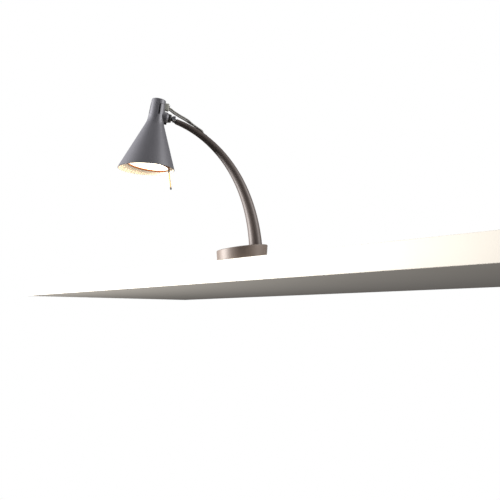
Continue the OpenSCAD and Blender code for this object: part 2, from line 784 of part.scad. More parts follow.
mounting_plate();
base_gasket();
plate_clips();
clip_rivets();
base_housing();
lead_inlet();
terminal_block();
terminal_screws();
arm_socket();
socket_washer();
socket_nut();
arm_tube();
arm_leads();
lead_grommet();
tip_fork();
hinge_screw();
hinge_nut();
hinge_washers();
knuckle();
friction_ring();
swivel_washer();
swivel_nut();
swivel_drum();
stop_lug();
shade();
top_cap();
tie_rod();
tie_nut();
holder_bracket();
lamp_holder();
holder_screws();
holder_leads();
strain_relief();
strain_relief_screw();
bulb();
bulb_pins();
reflector();
reflector_screws();
glass_ring();
cover_glass();
ring_clips();
rod_socket();
handle_rod();
rod_tip();
lead_upper();
lead_lower();
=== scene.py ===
"""A small reading lamp on a screwed base: its finished pieces and finishes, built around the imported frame.

Shapes are worked out in millimetres in the frame of their own part, and are put in place in metres.
"""

from __future__ import annotations

import json
import logging
import math
from dataclasses import dataclass
from enum import Enum
from typing import Callable, Sequence

import bmesh
import bpy
from mathutils import Matrix, Vector
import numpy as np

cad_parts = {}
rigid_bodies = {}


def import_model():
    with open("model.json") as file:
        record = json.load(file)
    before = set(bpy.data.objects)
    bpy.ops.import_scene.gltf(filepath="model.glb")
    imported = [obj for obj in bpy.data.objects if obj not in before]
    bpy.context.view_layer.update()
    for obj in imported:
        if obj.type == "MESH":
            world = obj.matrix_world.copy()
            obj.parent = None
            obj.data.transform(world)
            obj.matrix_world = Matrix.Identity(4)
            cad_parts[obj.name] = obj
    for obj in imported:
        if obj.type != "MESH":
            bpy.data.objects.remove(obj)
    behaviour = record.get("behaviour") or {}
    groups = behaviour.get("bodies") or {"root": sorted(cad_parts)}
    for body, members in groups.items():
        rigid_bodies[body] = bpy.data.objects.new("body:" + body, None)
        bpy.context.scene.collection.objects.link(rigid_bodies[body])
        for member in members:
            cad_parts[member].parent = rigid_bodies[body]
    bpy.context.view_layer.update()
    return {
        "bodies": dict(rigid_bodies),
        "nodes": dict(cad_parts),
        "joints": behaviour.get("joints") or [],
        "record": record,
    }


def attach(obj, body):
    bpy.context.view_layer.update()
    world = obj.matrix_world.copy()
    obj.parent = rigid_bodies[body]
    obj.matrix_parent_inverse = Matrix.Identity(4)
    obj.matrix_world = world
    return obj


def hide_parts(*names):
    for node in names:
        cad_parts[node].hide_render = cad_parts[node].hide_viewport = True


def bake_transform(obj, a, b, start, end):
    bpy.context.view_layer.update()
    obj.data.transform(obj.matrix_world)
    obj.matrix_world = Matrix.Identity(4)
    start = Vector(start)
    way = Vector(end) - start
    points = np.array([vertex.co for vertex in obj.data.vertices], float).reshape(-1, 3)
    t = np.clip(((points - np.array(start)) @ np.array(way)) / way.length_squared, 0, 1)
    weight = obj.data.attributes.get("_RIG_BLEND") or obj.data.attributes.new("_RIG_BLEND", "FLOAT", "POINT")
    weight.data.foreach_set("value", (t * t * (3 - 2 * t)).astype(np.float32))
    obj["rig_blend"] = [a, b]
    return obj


LOG = logging.getLogger("lamp")
MM = 0.001
SHARP = math.radians(38)

Point = tuple[float, float]
Place = Callable[[float], Vector]
Mesh = bmesh.types.BMesh


class Body(Enum):
    """The bodies that pieces ride on."""

    BASE = "base"
    KNUCKLE = "knuckle"
    HEAD = "head"


# ======== Shapes ========
def turn_about(degrees: float, axis: str) -> Matrix:
    """A rotation about one axis, from an angle in degrees."""
    return Matrix.Rotation(math.radians(degrees), 4, axis)


def arc(centre: Point, radius: float, start: float, end: float, steps: int = 6) -> list[Point]:
    """Points along an arc of a profile.

    Args:
        centre: The arc's centre, as (radius, height).
        radius: The arc's own radius.
        start: The first angle, in degrees.
        end: The last angle, in degrees.
        steps: How many chords the arc has.

    Returns:
        The points, both ends included.
    """
    angles = [math.radians(start + (end - start) * i / steps) for i in range(steps + 1)]
    return [(centre[0] + radius * math.cos(a), centre[1] + radius * math.sin(a)) for a in angles]


def turned(profile: Sequence[Point], steps: int = 96, closed: bool = False) -> Mesh:
    """Turns a profile once round the Z axis, as on a lathe.

    Args:
        profile: Points as (radius, height). An open profile starts and ends on the axis or on an edge.
        steps: How many steps the turn has.
        closed: Whether the last point joins the first, as on a ring.

    Returns:
        The turned shape, with its faces outwards.
    """
    bm = bmesh.new()
    verts = [bm.verts.new((r, 0, z)) for r, z in profile]
    pairs = list(zip(verts, verts[1:]))
    if closed:
        pairs.append((verts[-1], verts[0]))
    edges = [bm.edges.new(pair) for pair in pairs]
    bmesh.ops.spin(
        bm, geom=verts + edges, cent=(0, 0, 0), axis=(0, 0, 1), angle=math.tau, steps=steps, use_merge=True
    )
    bmesh.ops.remove_doubles(bm, verts=bm.verts[:], dist=1e-4)
    bmesh.ops.dissolve_degenerate(bm, dist=1e-5, edges=bm.edges[:])
    bmesh.ops.recalc_face_normals(bm, faces=bm.faces[:])
    return bm


class Loft:
    """A shape grown ring by ring. A function places each ring's points by their angle."""

    def __init__(self, first: Place, sides: int = 64) -> None:
        """Starts the shape with its first ring.

        Args:
            first: Gives the place of a point from its angle, in radians.
            sides: How many points a ring has.
        """
        self.bm = bmesh.new()
        self.turn = self.bm.verts.layers.float.new("turn")
        self.run = self.bm.verts.layers.float.new("run")
        made = bmesh.ops.create_circle(self.bm, cap_ends=False, radius=1, segments=sides)["verts"]
        for vert in made:
            vert[self.turn] = math.atan2(vert.co.y, vert.co.x) % math.tau
        self.ring = self.bm.edges[:]
        self._settle(made, first, 0.0)

    def _settle(self, verts: list[bmesh.types.BMVert], place: Place, run: float) -> None:
        """Puts a ring's points in their places, and notes how far along they lie."""
        for vert in verts:
            vert.co = place(vert[self.turn])
            vert[self.run] = run

    def grow(self, place: Place, run: float = 0.0) -> Loft:
        """Adds a ring.

        Args:
            place: Gives the place of a point from its angle.
            run: How far along the shape the ring lies, for a pattern that follows it.

        Returns:
            The shape itself.
        """
        made = bmesh.ops.extrude_edge_only(self.bm, edges=self.ring)["geom"]
        self.ring = [e for e in made if isinstance(e, bmesh.types.BMEdge) and e.is_boundary]
        self._settle([v for v in made if isinstance(v, bmesh.types.BMVert)], place, run)
        return self

    def cap(self) -> Loft:
        """Closes the shape at its last ring."""
        bmesh.ops.edgeloop_fill(self.bm, edges=self.ring)
        return self

    def done(self) -> Mesh:
        """The shape, with its ends welded where they meet and its faces outwards."""
        bmesh.ops.remove_doubles(self.bm, verts=self.bm.verts[:], dist=1e-4)
        bmesh.ops.recalc_face_normals(self.bm, faces=self.bm.faces[:])
        return self.bm


def circle(radius: float, height: float) -> Place:
    """Places a round ring about the Z axis."""
    return lambda a: Vector((radius * math.cos(a), radius * math.sin(a), height))


def hexagon(flats: float, limit: float, height: float) -> Place:
    """Places a six-sided ring, with its corners turned down to a limit radius.

    Args:
        flats: The distance across the flats.
        limit: The greatest radius that a corner may have.
        height: The ring's height.

    Returns:
        The placing function.
    """

    def place(a: float) -> Vector:
        off = a % (math.pi / 3) - math.pi / 6
        r = min(flats / 2 / math.cos(off), limit)
        return Vector((r * math.cos(a), r * math.sin(a), height))

    return place


def plate(outline: Sequence[Point], low: float, high: float) -> Mesh:
    """A flat plate whose outline is drawn in X and Z.

    Args:
        outline: The outline's points.
        low: The Y of one face.
        high: The Y of the other face.

    Returns:
        The plate, with its faces outwards.
    """
    bm = bmesh.new()
    face = bm.faces.new([bm.verts.new((x, low, z)) for x, z in outline])
    grown = bmesh.ops.extrude_face_region(bm, geom=[face])["geom"]
    moved = [v for v in grown if isinstance(v, bmesh.types.BMVert)]
    bmesh.ops.translate(bm, vec=(0, high - low, 0), verts=moved)
    bmesh.ops.recalc_face_normals(bm, faces=bm.faces[:])
    return bm


def block(low: Sequence[float], high: Sequence[float], edge: float) -> Mesh:
    """A rounded block between two corners, with an edge radius."""
    bm = bmesh.new()
    size = Vector(high) - Vector(low)
    bmesh.ops.create_cube(bm, size=1)
    bmesh.ops.scale(bm, vec=size, verts=bm.verts[:])
    bmesh.ops.translate(bm, vec=Vector(low) + size / 2, verts=bm.verts[:])
    bmesh.ops.bevel(
        bm, geom=bm.edges[:], offset=edge, offset_type="OFFSET", segments=4, profile=0.5, affect="EDGES",
        material=-1
    )
    return bm


def softened(bm: Mesh, width: float, segments: int = 2) -> Mesh:
    """Rounds every sharp edge of a closed shape.

    Args:
        bm: The shape.
        width: The width of the rounding.
        segments: How many facets the rounding has.

    Returns:
        The same shape.
    """
    sharp = [e for e in bm.edges if len(e.link_faces) == 2 and e.calc_face_angle(0) > SHARP]
    bmesh.ops.bevel(
        bm, geom=sharp, offset=width, offset_type="OFFSET", segments=segments, profile=0.5,
        affect="EDGES", clamp_overlap=True, material=-1,
    )
    return bm


def merged(*shapes: Mesh) -> Mesh:
    """Several shapes as one."""
    whole = shapes[0]
    for shape in shapes[1:]:
        carrier = bpy.data.meshes.new("carrier")
        shape.to_mesh(carrier)
        shape.free()
        whole.from_mesh(carrier)
        bpy.data.meshes.remove(carrier)
    return whole


def moved(bm: Mesh, matrix: Matrix) -> Mesh:
    """A shape moved by a matrix."""
    bmesh.ops.transform(bm, matrix=matrix, verts=bm.verts[:])
    return bm


def socket_screw(shank: float, start: float, seat: float, head: float, top: float, key: float) -> Mesh:
    """A screw along Z with a rounded head and a hexagon socket.

    Args:
        shank: The shank's radius.
        start: The height of the shank's end.
        seat: The height of the head's underside.
        head: The head's radius.
        top: The height of the head's top.
        key: The distance across the socket's flats.

    Returns:
        The screw.
    """
    edge = min(0.35 * (top - seat), 0.6)
    depth = 0.85 * (top - seat)
    loft = Loft(circle(shank - 0.15, start), 72).cap()
    for r, z in [(shank, start + 0.15), (shank, seat), (head - 0.05, seat), (head, seat + 0.05)]:
        loft.grow(circle(r, z))
    for r, z in arc((head - edge, top - edge), edge, 0, 90, 5):
        loft.grow(circle(r, z))
    rim = key / 2 / math.cos(math.pi / 6) + 0.15
    loft.grow(circle(rim, top)).grow(hexagon(key, rim, top - 0.12)).grow(hexagon(key, rim, top - depth)).cap()
    return loft.done()


def hex_nut(bore: float, flats: float, low: float, high: float) -> Mesh:
    """A hexagon nut along Z with chamfered corners."""
    corner = flats / 2 / math.cos(math.pi / 6)
    chamfer = 0.5 * (corner - flats / 2) + 0.15
    loft = Loft(circle(bore, low), 72)
    loft.grow(hexagon(flats, corner - chamfer, low)).grow(hexagon(flats, corner, low + chamfer * 0.6))
    loft.grow(hexagon(flats, corner, high - chamfer * 0.6)).grow(hexagon(flats, corner - chamfer, high))
    loft.grow(circle(bore, high)).grow(circle(bore, low))
    return loft.done()


# ======== Finishes ========
def linear(value: str) -> tuple[float, float, float, float]:
    """Turns an sRGB hex colour to the linear colour that a socket takes."""
    parts = [int(value[i : i + 2], 16) / 255 for i in (0, 2, 4)]
    rgb = [c / 12.92 if c <= 0.04045 else ((c + 0.055) / 1.055) ** 2.4 for c in parts]
    return (rgb[0], rgb[1], rgb[2], 1.0)


def add_node(tree: bpy.types.NodeTree, kind: str, settings: dict | None = None, links: dict | None = None):
    """Adds a node with its settings and links.

    Args:
        tree: The node tree.
        kind: The node's type.
        settings: Its properties by name.
        links: Its inputs by name or number. Each is a value, or the output socket that feeds it.

    Returns:
        The node.
    """
    made = tree.nodes.new(kind)
    for name, value in (settings or {}).items():
        setattr(made, name, value)
    for name, value in (links or {}).items():
        if isinstance(value, bpy.types.NodeSocket):
            tree.links.new(value, made.inputs[name])
        else:
            made.inputs[name].default_value = value
    return made


def per_mm(size: float) -> float:
    """The scale of a pattern on Object coordinates whose features are that many millimetres across."""
    return 1.0 / (size * MM)


@dataclass(frozen=True)
class Finish:
    """A material whose colour and roughness drift a little, with a fine grain in its surface."""

    name: str
    slot: str
    colour: str
    second: str
    roughness: float
    drift: float = 0.06
    metallic: float = 0.0
    patch_mm: float = 14.0
    grain_mm: float = 0.8
    grain_depth: float = 0.05
    lines_mm: float = 0.0
    specular: float = 0.5
    coat: float = 0.0
    coat_roughness: float = 0.2
    lines_depth: float = 0.08
    axis: Matrix | None = None

    def material(self) -> bpy.types.Material:
        """The finished material, made once."""
        known = bpy.data.materials.get(self.name)
        if known:
            return known
        made = bpy.data.materials.new(self.name)
        made.use_nodes = True
        tree = made.node_tree
        tree.nodes.clear()
        shader = add_node(tree, "ShaderNodeBsdfPrincipled", links={"Metallic": self.metallic})
        if not self.metallic:
            shader.inputs["Specular IOR Level"].default_value = self.specular
        shader.inputs["Coat Weight"].default_value = self.coat
        shader.inputs["Coat Roughness"].default_value = self.coat_roughness
        self.dress(tree, shader)
        add_node(tree, "ShaderNodeOutputMaterial", links={"Surface": shader.outputs[0]})
        return made

    def place(self, tree: bpy.types.NodeTree) -> bpy.types.NodeSocket:
        """Object coordinates, turned to the piece's own axis where it has one."""
        where = add_node(tree, "ShaderNodeTexCoord").outputs["Object"]
        if self.axis is None:
            return where
        links = {"Vector": where, "Location": self.axis.to_translation(), "Rotation": self.axis.to_euler()}
        return add_node(tree, "ShaderNodeMapping", {"vector_type": "TEXTURE"}, links).outputs[0]

    def dress(self, tree: bpy.types.NodeTree, shader: bpy.types.Node) -> None:
        """Adds the colour, the roughness and the surface relief."""
        where = self.place(tree)
        patch = add_node(
            tree, "ShaderNodeTexNoise", links={"Vector": where, "Scale": per_mm(self.patch_mm), "Detail": 4.0}
        )
        shade = add_node(tree, "ShaderNodeMix", {"data_type": "RGBA"}, {"Factor": patch.outputs["Fac"]})
        shade.inputs[6].default_value = linear(self.colour)
        shade.inputs[7].default_value = linear(self.second)
        tree.links.new(shade.outputs[2], shader.inputs["Base Color"])
        rough = add_node(
            tree,
            "ShaderNodeMapRange",
            links={
                "Value": patch.outputs["Fac"],
                "To Min": self.roughness - self.drift,
                "To Max": self.roughness + self.drift,
            },
        )
        tree.links.new(rough.outputs[0], shader.inputs["Roughness"])
        relief = add_node(
            tree, "ShaderNodeTexNoise", links={"Vector": where, "Scale": per_mm(self.grain_mm), "Detail": 2.0}
        ).outputs["Fac"]
        if self.lines_mm:
            wave = add_node(
                tree,
                "ShaderNodeTexWave",
                {"bands_direction": "Z"},
                {
                    "Vector": where, "Scale": per_mm(self.lines_mm) / math.tau, "Distortion": 0.6,
                    "Detail": 2.0
                },
            )
            spun = add_node(
                tree, "ShaderNodeMath", {"operation": "MULTIPLY"},
                {0: wave.outputs["Fac"], 1: self.lines_depth}
            )
            relief = add_node(
                tree, "ShaderNodeMath", {"operation": "ADD"}, {0: relief, 1: spun.outputs[0]}
            ).outputs[0]
        depth = {"Height": relief, "Strength": self.grain_depth, "Distance": self.grain_mm * MM}
        bump = add_node(tree, "ShaderNodeBump", links=depth)
        tree.links.new(bump.outputs[0], shader.inputs["Normal"])


@dataclass(frozen=True)
class EnamelWithPaintedLight(Finish):
    """White enamel inside the shade, carrying painted light.

    A faint glow of its own stands in for the lamp's light that the enamel passes on, and painted shade
    darkens it towards the neck.
    """

    # painted shade: the dark colour the enamel fades to inside the neck
    painted_neck_shade: str = "2b2a2a"
    # painted glow: emission strength standing in for the lamp's light on the enamel
    painted_glow: float = 0.3
    shade_from_mm: float = -58.0
    shade_to_mm: float = -36.0

    def dress(self, tree: bpy.types.NodeTree, shader: bpy.types.Node) -> None:
        """Adds the enamel, and the painted shade that darkens it towards the neck; the result also colours
        the painted glow.
        """
        super().dress(tree, shader)
        enamel = shader.inputs["Base Color"].links[0].from_socket
        height = add_node(tree, "ShaderNodeSeparateXYZ", links={"Vector": self.place(tree)}).outputs["Z"]
        spread = {"Value": height, "From Min": self.shade_from_mm * MM, "From Max": self.shade_to_mm * MM}
        # painted shade: the enamel fades to dark between these heights along the head's axis
        thin = add_node(tree, "ShaderNodeMapRange", links=spread)
        coat = add_node(tree, "ShaderNodeMix", {"data_type": "RGBA"}, {"Factor": thin.outputs[0], 6: enamel})
        coat.inputs[7].default_value = linear(self.painted_neck_shade)
        tree.links.new(coat.outputs[2], shader.inputs["Base Color"])
        # painted glow: the enamel emits its own painted-shade colour
        tree.links.new(coat.outputs[2], shader.inputs["Emission Color"])
        shader.inputs["Emission Strength"].default_value = self.painted_glow


@dataclass(frozen=True)
class BraidedSleeve(Finish):
    """Silicone-coated glass braid over a lead: crossing strands that follow the lead."""

    strand_mm: float = 0.35
    bump: float = 0.2
    bump_mm: float = 0.1

    def dress(self, tree: bpy.types.NodeTree, shader: bpy.types.Node) -> None:
        """Adds the strands in their two directions, with painted shade darkening the grooves between them."""
        where = add_node(tree, "ShaderNodeUVMap").outputs[0]
        heights = []
        for lean in (45, -45):
            turned_way = add_node(
                tree, "ShaderNodeMapping", links={"Vector": where, "Rotation": (0, 0, math.radians(lean))}
            )
            strands = add_node(
                tree,
                "ShaderNodeTexWave",
                {"bands_direction": "X"},
                {
                    "Vector": turned_way.outputs[0], "Scale": 1 / self.strand_mm / math.tau * 2,
                    "Distortion": 0.3
                },
            )
            heights.append(strands.outputs["Fac"])
        highest = add_node(
            tree, "ShaderNodeMath", {"operation": "MAXIMUM"}, {0: heights[0], 1: heights[1]}
        )
        relief = highest.outputs[0]
        # painted shade: the darker second colour fills the grooves between the strands
        shade = add_node(tree, "ShaderNodeMix", {"data_type": "RGBA"}, {"Factor": relief})
        shade.inputs[6].default_value = linear(self.second)
        shade.inputs[7].default_value = linear(self.colour)
        tree.links.new(shade.outputs[2], shader.inputs["Base Color"])
        shader.inputs["Roughness"].default_value = self.roughness
        bump = add_node(
            tree, "ShaderNodeBump",
            links={"Height": relief, "Strength": self.bump, "Distance": self.bump_mm * MM}
        )
        tree.links.new(bump.outputs[0], shader.inputs["Normal"])


@dataclass(frozen=True)
class LitGlass(Finish):
    """Frosted glass with the lamp burning behind it, brightest round the middle."""

    glow: str = "fff3dc"
    edge_glow: str = "ffe4bc"
    strength: float = 6.5
    reach_mm: float = 26.0

    def dress(self, tree: bpy.types.NodeTree, shader: bpy.types.Node) -> None:
        """Adds the glow, a clear gloss and a fine frosting."""
        where = self.place(tree)
        near = add_node(
            tree, "ShaderNodeMapping", {"vector_type": "TEXTURE"},
            {"Vector": where, "Scale": (self.reach_mm * MM,) * 3}
        )
        fall = add_node(
            tree, "ShaderNodeTexGradient", {"gradient_type": "SPHERICAL"}, {"Vector": near.outputs[0]}
        )
        shade = add_node(tree, "ShaderNodeMix", {"data_type": "RGBA"}, {"Factor": fall.outputs["Fac"]})
        shade.inputs[6].default_value = linear(self.edge_glow)
        shade.inputs[7].default_value = linear(self.glow)
        tree.links.new(shade.outputs[2], shader.inputs["Emission Color"])
        shader.inputs["Emission Strength"].default_value = self.strength
        shader.inputs["Base Color"].default_value = linear(self.colour)
        shader.inputs["Roughness"].default_value = self.roughness
        frost = add_node(tree, "ShaderNodeTexNoise", links={"Vector": where, "Scale": per_mm(self.grain_mm)})
        depth = {"Height": frost.outputs["Fac"], "Strength": self.grain_depth, "Distance": 0.2 * MM}
        bump = add_node(tree, "ShaderNodeBump", links=depth)
        tree.links.new(bump.outputs[0], shader.inputs["Normal"])


@dataclass(frozen=True)
class ClearGlass(Finish):
    """Clear quartz glass of the lamp's capsule."""

    def dress(self, tree: bpy.types.NodeTree, shader: bpy.types.Node) -> None:
        """Makes the shader clear, with a faint ripple in the glass."""
        shader.inputs["Base Color"].default_value = linear(self.colour)
        shader.inputs["Roughness"].default_value = self.roughness
        shader.inputs["Transmission Weight"].default_value = 0.95
        ripple = add_node(
            tree, "ShaderNodeTexNoise", links={"Vector": self.place(tree), "Scale": per_mm(self.grain_mm)}
        )
        bump = add_node(
            tree, "ShaderNodeBump",
            links={"Height": ripple.outputs["Fac"], "Strength": 0.05, "Distance": 0.2 * MM}
        )
        tree.links.new(bump.outputs[0], shader.inputs["Normal"])


@dataclass(frozen=True)
class Finishes:
    """All the lamp's finishes. The spun ones take the head's axis."""

    # Satin lacquer on spun steel: cool grey, soft sheen, spinning marks just showing through
    shade: Finish
    # White enamel inside the shade: matt and reflecting. Its warm cream tint and faint glow are painted lamp
    # light, and painted shade darkens it towards the neck
    enamel: Finish
    # Bright anodised aluminium, spun
    reflector: Finish
    # Satin metal, turned; its copper tone partly stands in for the lamp's warm light on it
    ring: Finish
    glass: LitGlass
    # Satin lacquer on drawn tube: dark and warm
    arm: Finish = Finish(
        "arm_satin_lacquer", "arm_lacquer", "5d534e", "544a46", 0.5, metallic=0.15, drift=0.02, patch_mm=30,
        grain_mm=0.5, grain_depth=0.02, specular=0.8,
    )
    # Satin lacquer on die-cast zinc: even, with a slight orange peel. Its warm brown tint is partly a painted
    # reflection of the warm wood nearby
    base: Finish = Finish(
        "base_satin_lacquer", "base_lacquer", "756860", "6b5f57", 0.5, metallic=0.15, drift=0.04, patch_mm=22,
        grain_mm=0.6, grain_depth=0.02,
    )
    # Moulded nylon: black, faintly grained
    nylon: Finish = Finish(
        "moulded_black_nylon", "black_plastic", "171717", "1f1e1e", 0.42, grain_mm=0.35, grain_depth=0.15
    )
    # Rubber: matt black
    rubber: Finish = Finish(
        "moulded_rubber", "gasket_rubber", "141414", "1c1b1a", 0.78, grain_mm=0.5, grain_depth=0.2
    )
    # Zinc-plated steel: grey-white with a slight cloud
    steel: Finish = Finish(
        "zinc_plated_steel", "steel", "c4c6ca", "b2b2b4", 0.32, metallic=1.0, patch_mm=5, grain_mm=0.4,
        grain_depth=0.05
    )
    # Steel blackened in oil: dark with a dull sheen
    dark_steel: Finish = Finish(
        "oil_blackened_steel", "steel", "6d6b6c", "5c5a5a", 0.36, metallic=1.0, patch_mm=4, grain_mm=0.3,
        grain_depth=0.08
    )
    # Powder coat: olive grey and matt
    olive: Finish = Finish(
        "olive_grey_powder_coat", "shade_lacquer", "b6b6ad", "a9a9a0", 0.6, patch_mm=4, grain_mm=0.3,
        grain_depth=0.15
    )
    # Nickel plating on turned steel: bright, almost a mirror
    nickel: Finish = Finish(
        "turned_nickel_plate", "bright_metal", "dcdcde", "cfcfd2", 0.16, metallic=1.0, patch_mm=4,
        grain_mm=0.3,
        grain_depth=0.03, drift=0.04,
    )
    # Drawn brass: satin yellow
    brass: Finish = Finish(
        "drawn_satin_brass", "brass", "c9a15c", "b98f4e", 0.3, metallic=1.0, patch_mm=4, grain_mm=0.3,
        grain_depth=0.05
    )
    # Steatite: off-white, dry and fine-grained
    steatite: Finish = Finish(
        "unglazed_steatite", "ceramic", "ece8dd", "dcd6c8", 0.75, grain_mm=0.4, grain_depth=0.25, patch_mm=5
    )
    # the darker second colour is painted shade between the braid's strands
    sleeve: BraidedSleeve = BraidedSleeve(
        "silicone_coated_braid", "lead_sleeve", "b9b7b1", "8e8c87", 0.4, specular=0.5
    )
    # Quartz: clear and smooth
    quartz: ClearGlass = ClearGlass("clear_quartz", "bulb_glass", "f4f7fb", "f4f7fb", 0.03, grain_mm=2.0)

    @staticmethod
    def along(axis: Matrix, glass_centre: Matrix) -> Finishes:
        """The finishes for a head whose axis is given, in metres."""
        return Finishes(
            shade=Finish(
                "shade_satin_lacquer", "shade_lacquer", "6f6e73", "68676c", 0.48, metallic=0.25, drift=0.02,
                patch_mm=18, grain_mm=0.7, grain_depth=0.03, lines_mm=0.9, lines_depth=0.06, axis=axis,
            ),
            # painted light: the warm cream colours stand in for the lamp's warm light on white enamel
            enamel=EnamelWithPaintedLight(
                "white_reflector_enamel", "shade_lacquer", "faebd3", "f4e3c8", 0.5, patch_mm=12,
                grain_depth=0.08,
                axis=axis,
            ),
            reflector=Finish(
                "spun_bright_aluminium", "reflector_aluminium", "e8e8ea", "dcdce0", 0.18, metallic=1.0,
                lines_mm=0.5,
                grain_mm=0.4, axis=axis,
            ),
            # the copper tone is partly painted warm lamp light on the ring
            ring=Finish(
                "turned_copper_tone", "ring_metal", "6e4124", "5c351c", 0.42, metallic=1.0, lines_mm=0.35,
                patch_mm=6,
                grain_mm=0.4, grain_depth=0.06, axis=axis,
            ),
            glass=LitGlass(
                "frosted_cover_glass", "frosted_glass", "f3f0e6", "f3f0e6", 0.4, grain_mm=0.5,
                grain_depth=0.15,
                axis=glass_centre,
            ),
        )


# ======== Bench: puts pieces into the scene ========
@dataclass
class Bench:
    """Turns shapes to pieces that ride on the frame's bodies."""

    finishes: Finishes
    nodes: dict[str, bpy.types.Object]

    def fit(
        self,
        name: str,
        shape: Mesh,
        where: Matrix,
        body: Body | None,
        finish: Finish,
        stands_for: Sequence[str] = (),
        wall: float = 0.0,
        inside: Finish | None = None,
        edge: float = 0.12,
    ) -> bpy.types.Object:
        """Makes a piece from a shape and puts it in place.

        Args:
            name: The piece's name.
            shape: The shape, in millimetres in its own frame.
            where: The place of that frame in the row frame, in millimetres.
            body: The body that it rides on, or None where a blend is made later.
            finish: Its finish.
            stands_for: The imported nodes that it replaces.
            wall: The wall to grow inwards on an open skin, or 0 on a closed shape.
            inside: The finish of that wall's inner side.
            edge: The rounding of a wall's edges.

        Returns:
            The piece.
        """
        moved(shape, Matrix.Scale(MM, 4) @ where)
        for layer in ("turn", "run"):
            found = shape.verts.layers.float.get(layer)
            if found:
                shape.verts.layers.float.remove(found)
        mesh = bpy.data.meshes.new(name)
        shape.to_mesh(mesh)
        shape.free()
        mesh.materials.append(finish.material())
        if inside:
            mesh.materials.append(inside.material())
        mesh.shade_smooth()
        mesh.set_sharp_from_angle(angle=SHARP)
        piece = bpy.data.objects.new(name, mesh)
        bpy.context.scene.collection.objects.link(piece)
        if wall:
            solid = piece.modifiers.new("wall", "SOLIDIFY")
            solid.thickness = wall * MM
            solid.offset = -1
            solid.use_even_offset = True
            solid.material_offset = 1 if inside else 0
            rounded = piece.modifiers.new("edges", "BEVEL")
            rounded.width = edge * MM
            rounded.segments = 2
            rounded.limit_method = "ANGLE"
            rounded.angle_limit = SHARP
            rounded.harden_normals = True
        if body:
            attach(piece, body.value)
        if stands_for:
            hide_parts(*stands_for)
        LOG.info("%s: %d vertices, on %s", name, len(mesh.vertices), body.value if body else "a blend")
        return piece

    def dress(self, finish: Finish, *names: str) -> None:
        """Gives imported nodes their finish."""
        for name in names:
            mesh = self.nodes[name].data
            mesh.materials.clear()
            mesh.materials.append(finish.material())
            LOG.info("%s: dressed as %s", name, finish.name)


# ======== The arm's line ========
@dataclass(frozen=True)
class ArmLine:
    """The arm's centre line. Its lean from upright grows along it."""

    foot_x: float = 16.3
    foot_z: float = 18.2
    length: float = 183.5
    lean_start: float = 4.3
    lean_rate: float = 0.2225
    lean_growth: float = 0.000734
    foot_r: float = 7.8
    tip_r: float = 3.25
    chords: int = 200

    def lean(self, s: float) -> float:
        """The lean at a distance along the arm, in degrees."""
        return self.lean_start + self.lean_rate * s + self.lean_growth * s * s

    def radius(self, s: float) -> float:
        """The tube's outer radius at a distance along the arm."""
        return self.foot_r + (self.tip_r - self.foot_r) * s / self.length

    def frame(self, s: float) -> Matrix:
        """The frame at a distance along the arm: Z runs along it, and X points out of its back."""
        step = s / self.chords
        at = Vector((self.foot_x, 0, self.foot_z))
        for i in range(self.chords):
            lean = math.radians(self.lean((i + 0.5) * step))
            at += step * Vector((-math.sin(lean), 0, math.cos(lean)))
        return Matrix.Translation(at) @ turn_about(-self.lean(s), "Y")


@dataclass(frozen=True)
class HeadPlace:
    """Where the head, its joint and its swivel axis lie, worked out from the frame's joints."""

    hinge: Vector
    lean: float
    reach: float = 21.0
    drop: float = 16.8

    @staticmethod
    def read(joints: list[dict]) -> HeadPlace:
        """Reads the hinge's place and the swivel's direction from the joints."""
        by_name = {joint["name"]: joint for joint in joints}
        hinge = Vector(by_name["head_tilt"]["pos_m"]) / MM
        axis = by_name["head_swivel"]["axis"]
        return HeadPlace(hinge, math.degrees(math.atan2(-axis[2], axis[0])))

    def head(self) -> Matrix:
        """The head's frame: its origin at the cone's apex, and Z up along its axis."""
        turn = turn_about(self.lean, "Y")
        apex = self.hinge + turn @ Vector((-self.reach, 0, self.drop))
        return Matrix.Translation(apex) @ turn

    def swivel(self) -> Matrix:
        """The swivel's frame: Z runs out from the head's axis to the hinge."""
        return self.head() @ Matrix.Translation((0, 0, -self.drop)) @ turn_about(90, "Y")

    def pin(self) -> Matrix:
        """The hinge screw's frame: Z runs towards the front."""
        return Matrix.Translation(self.hinge) @ turn_about(90, "X")


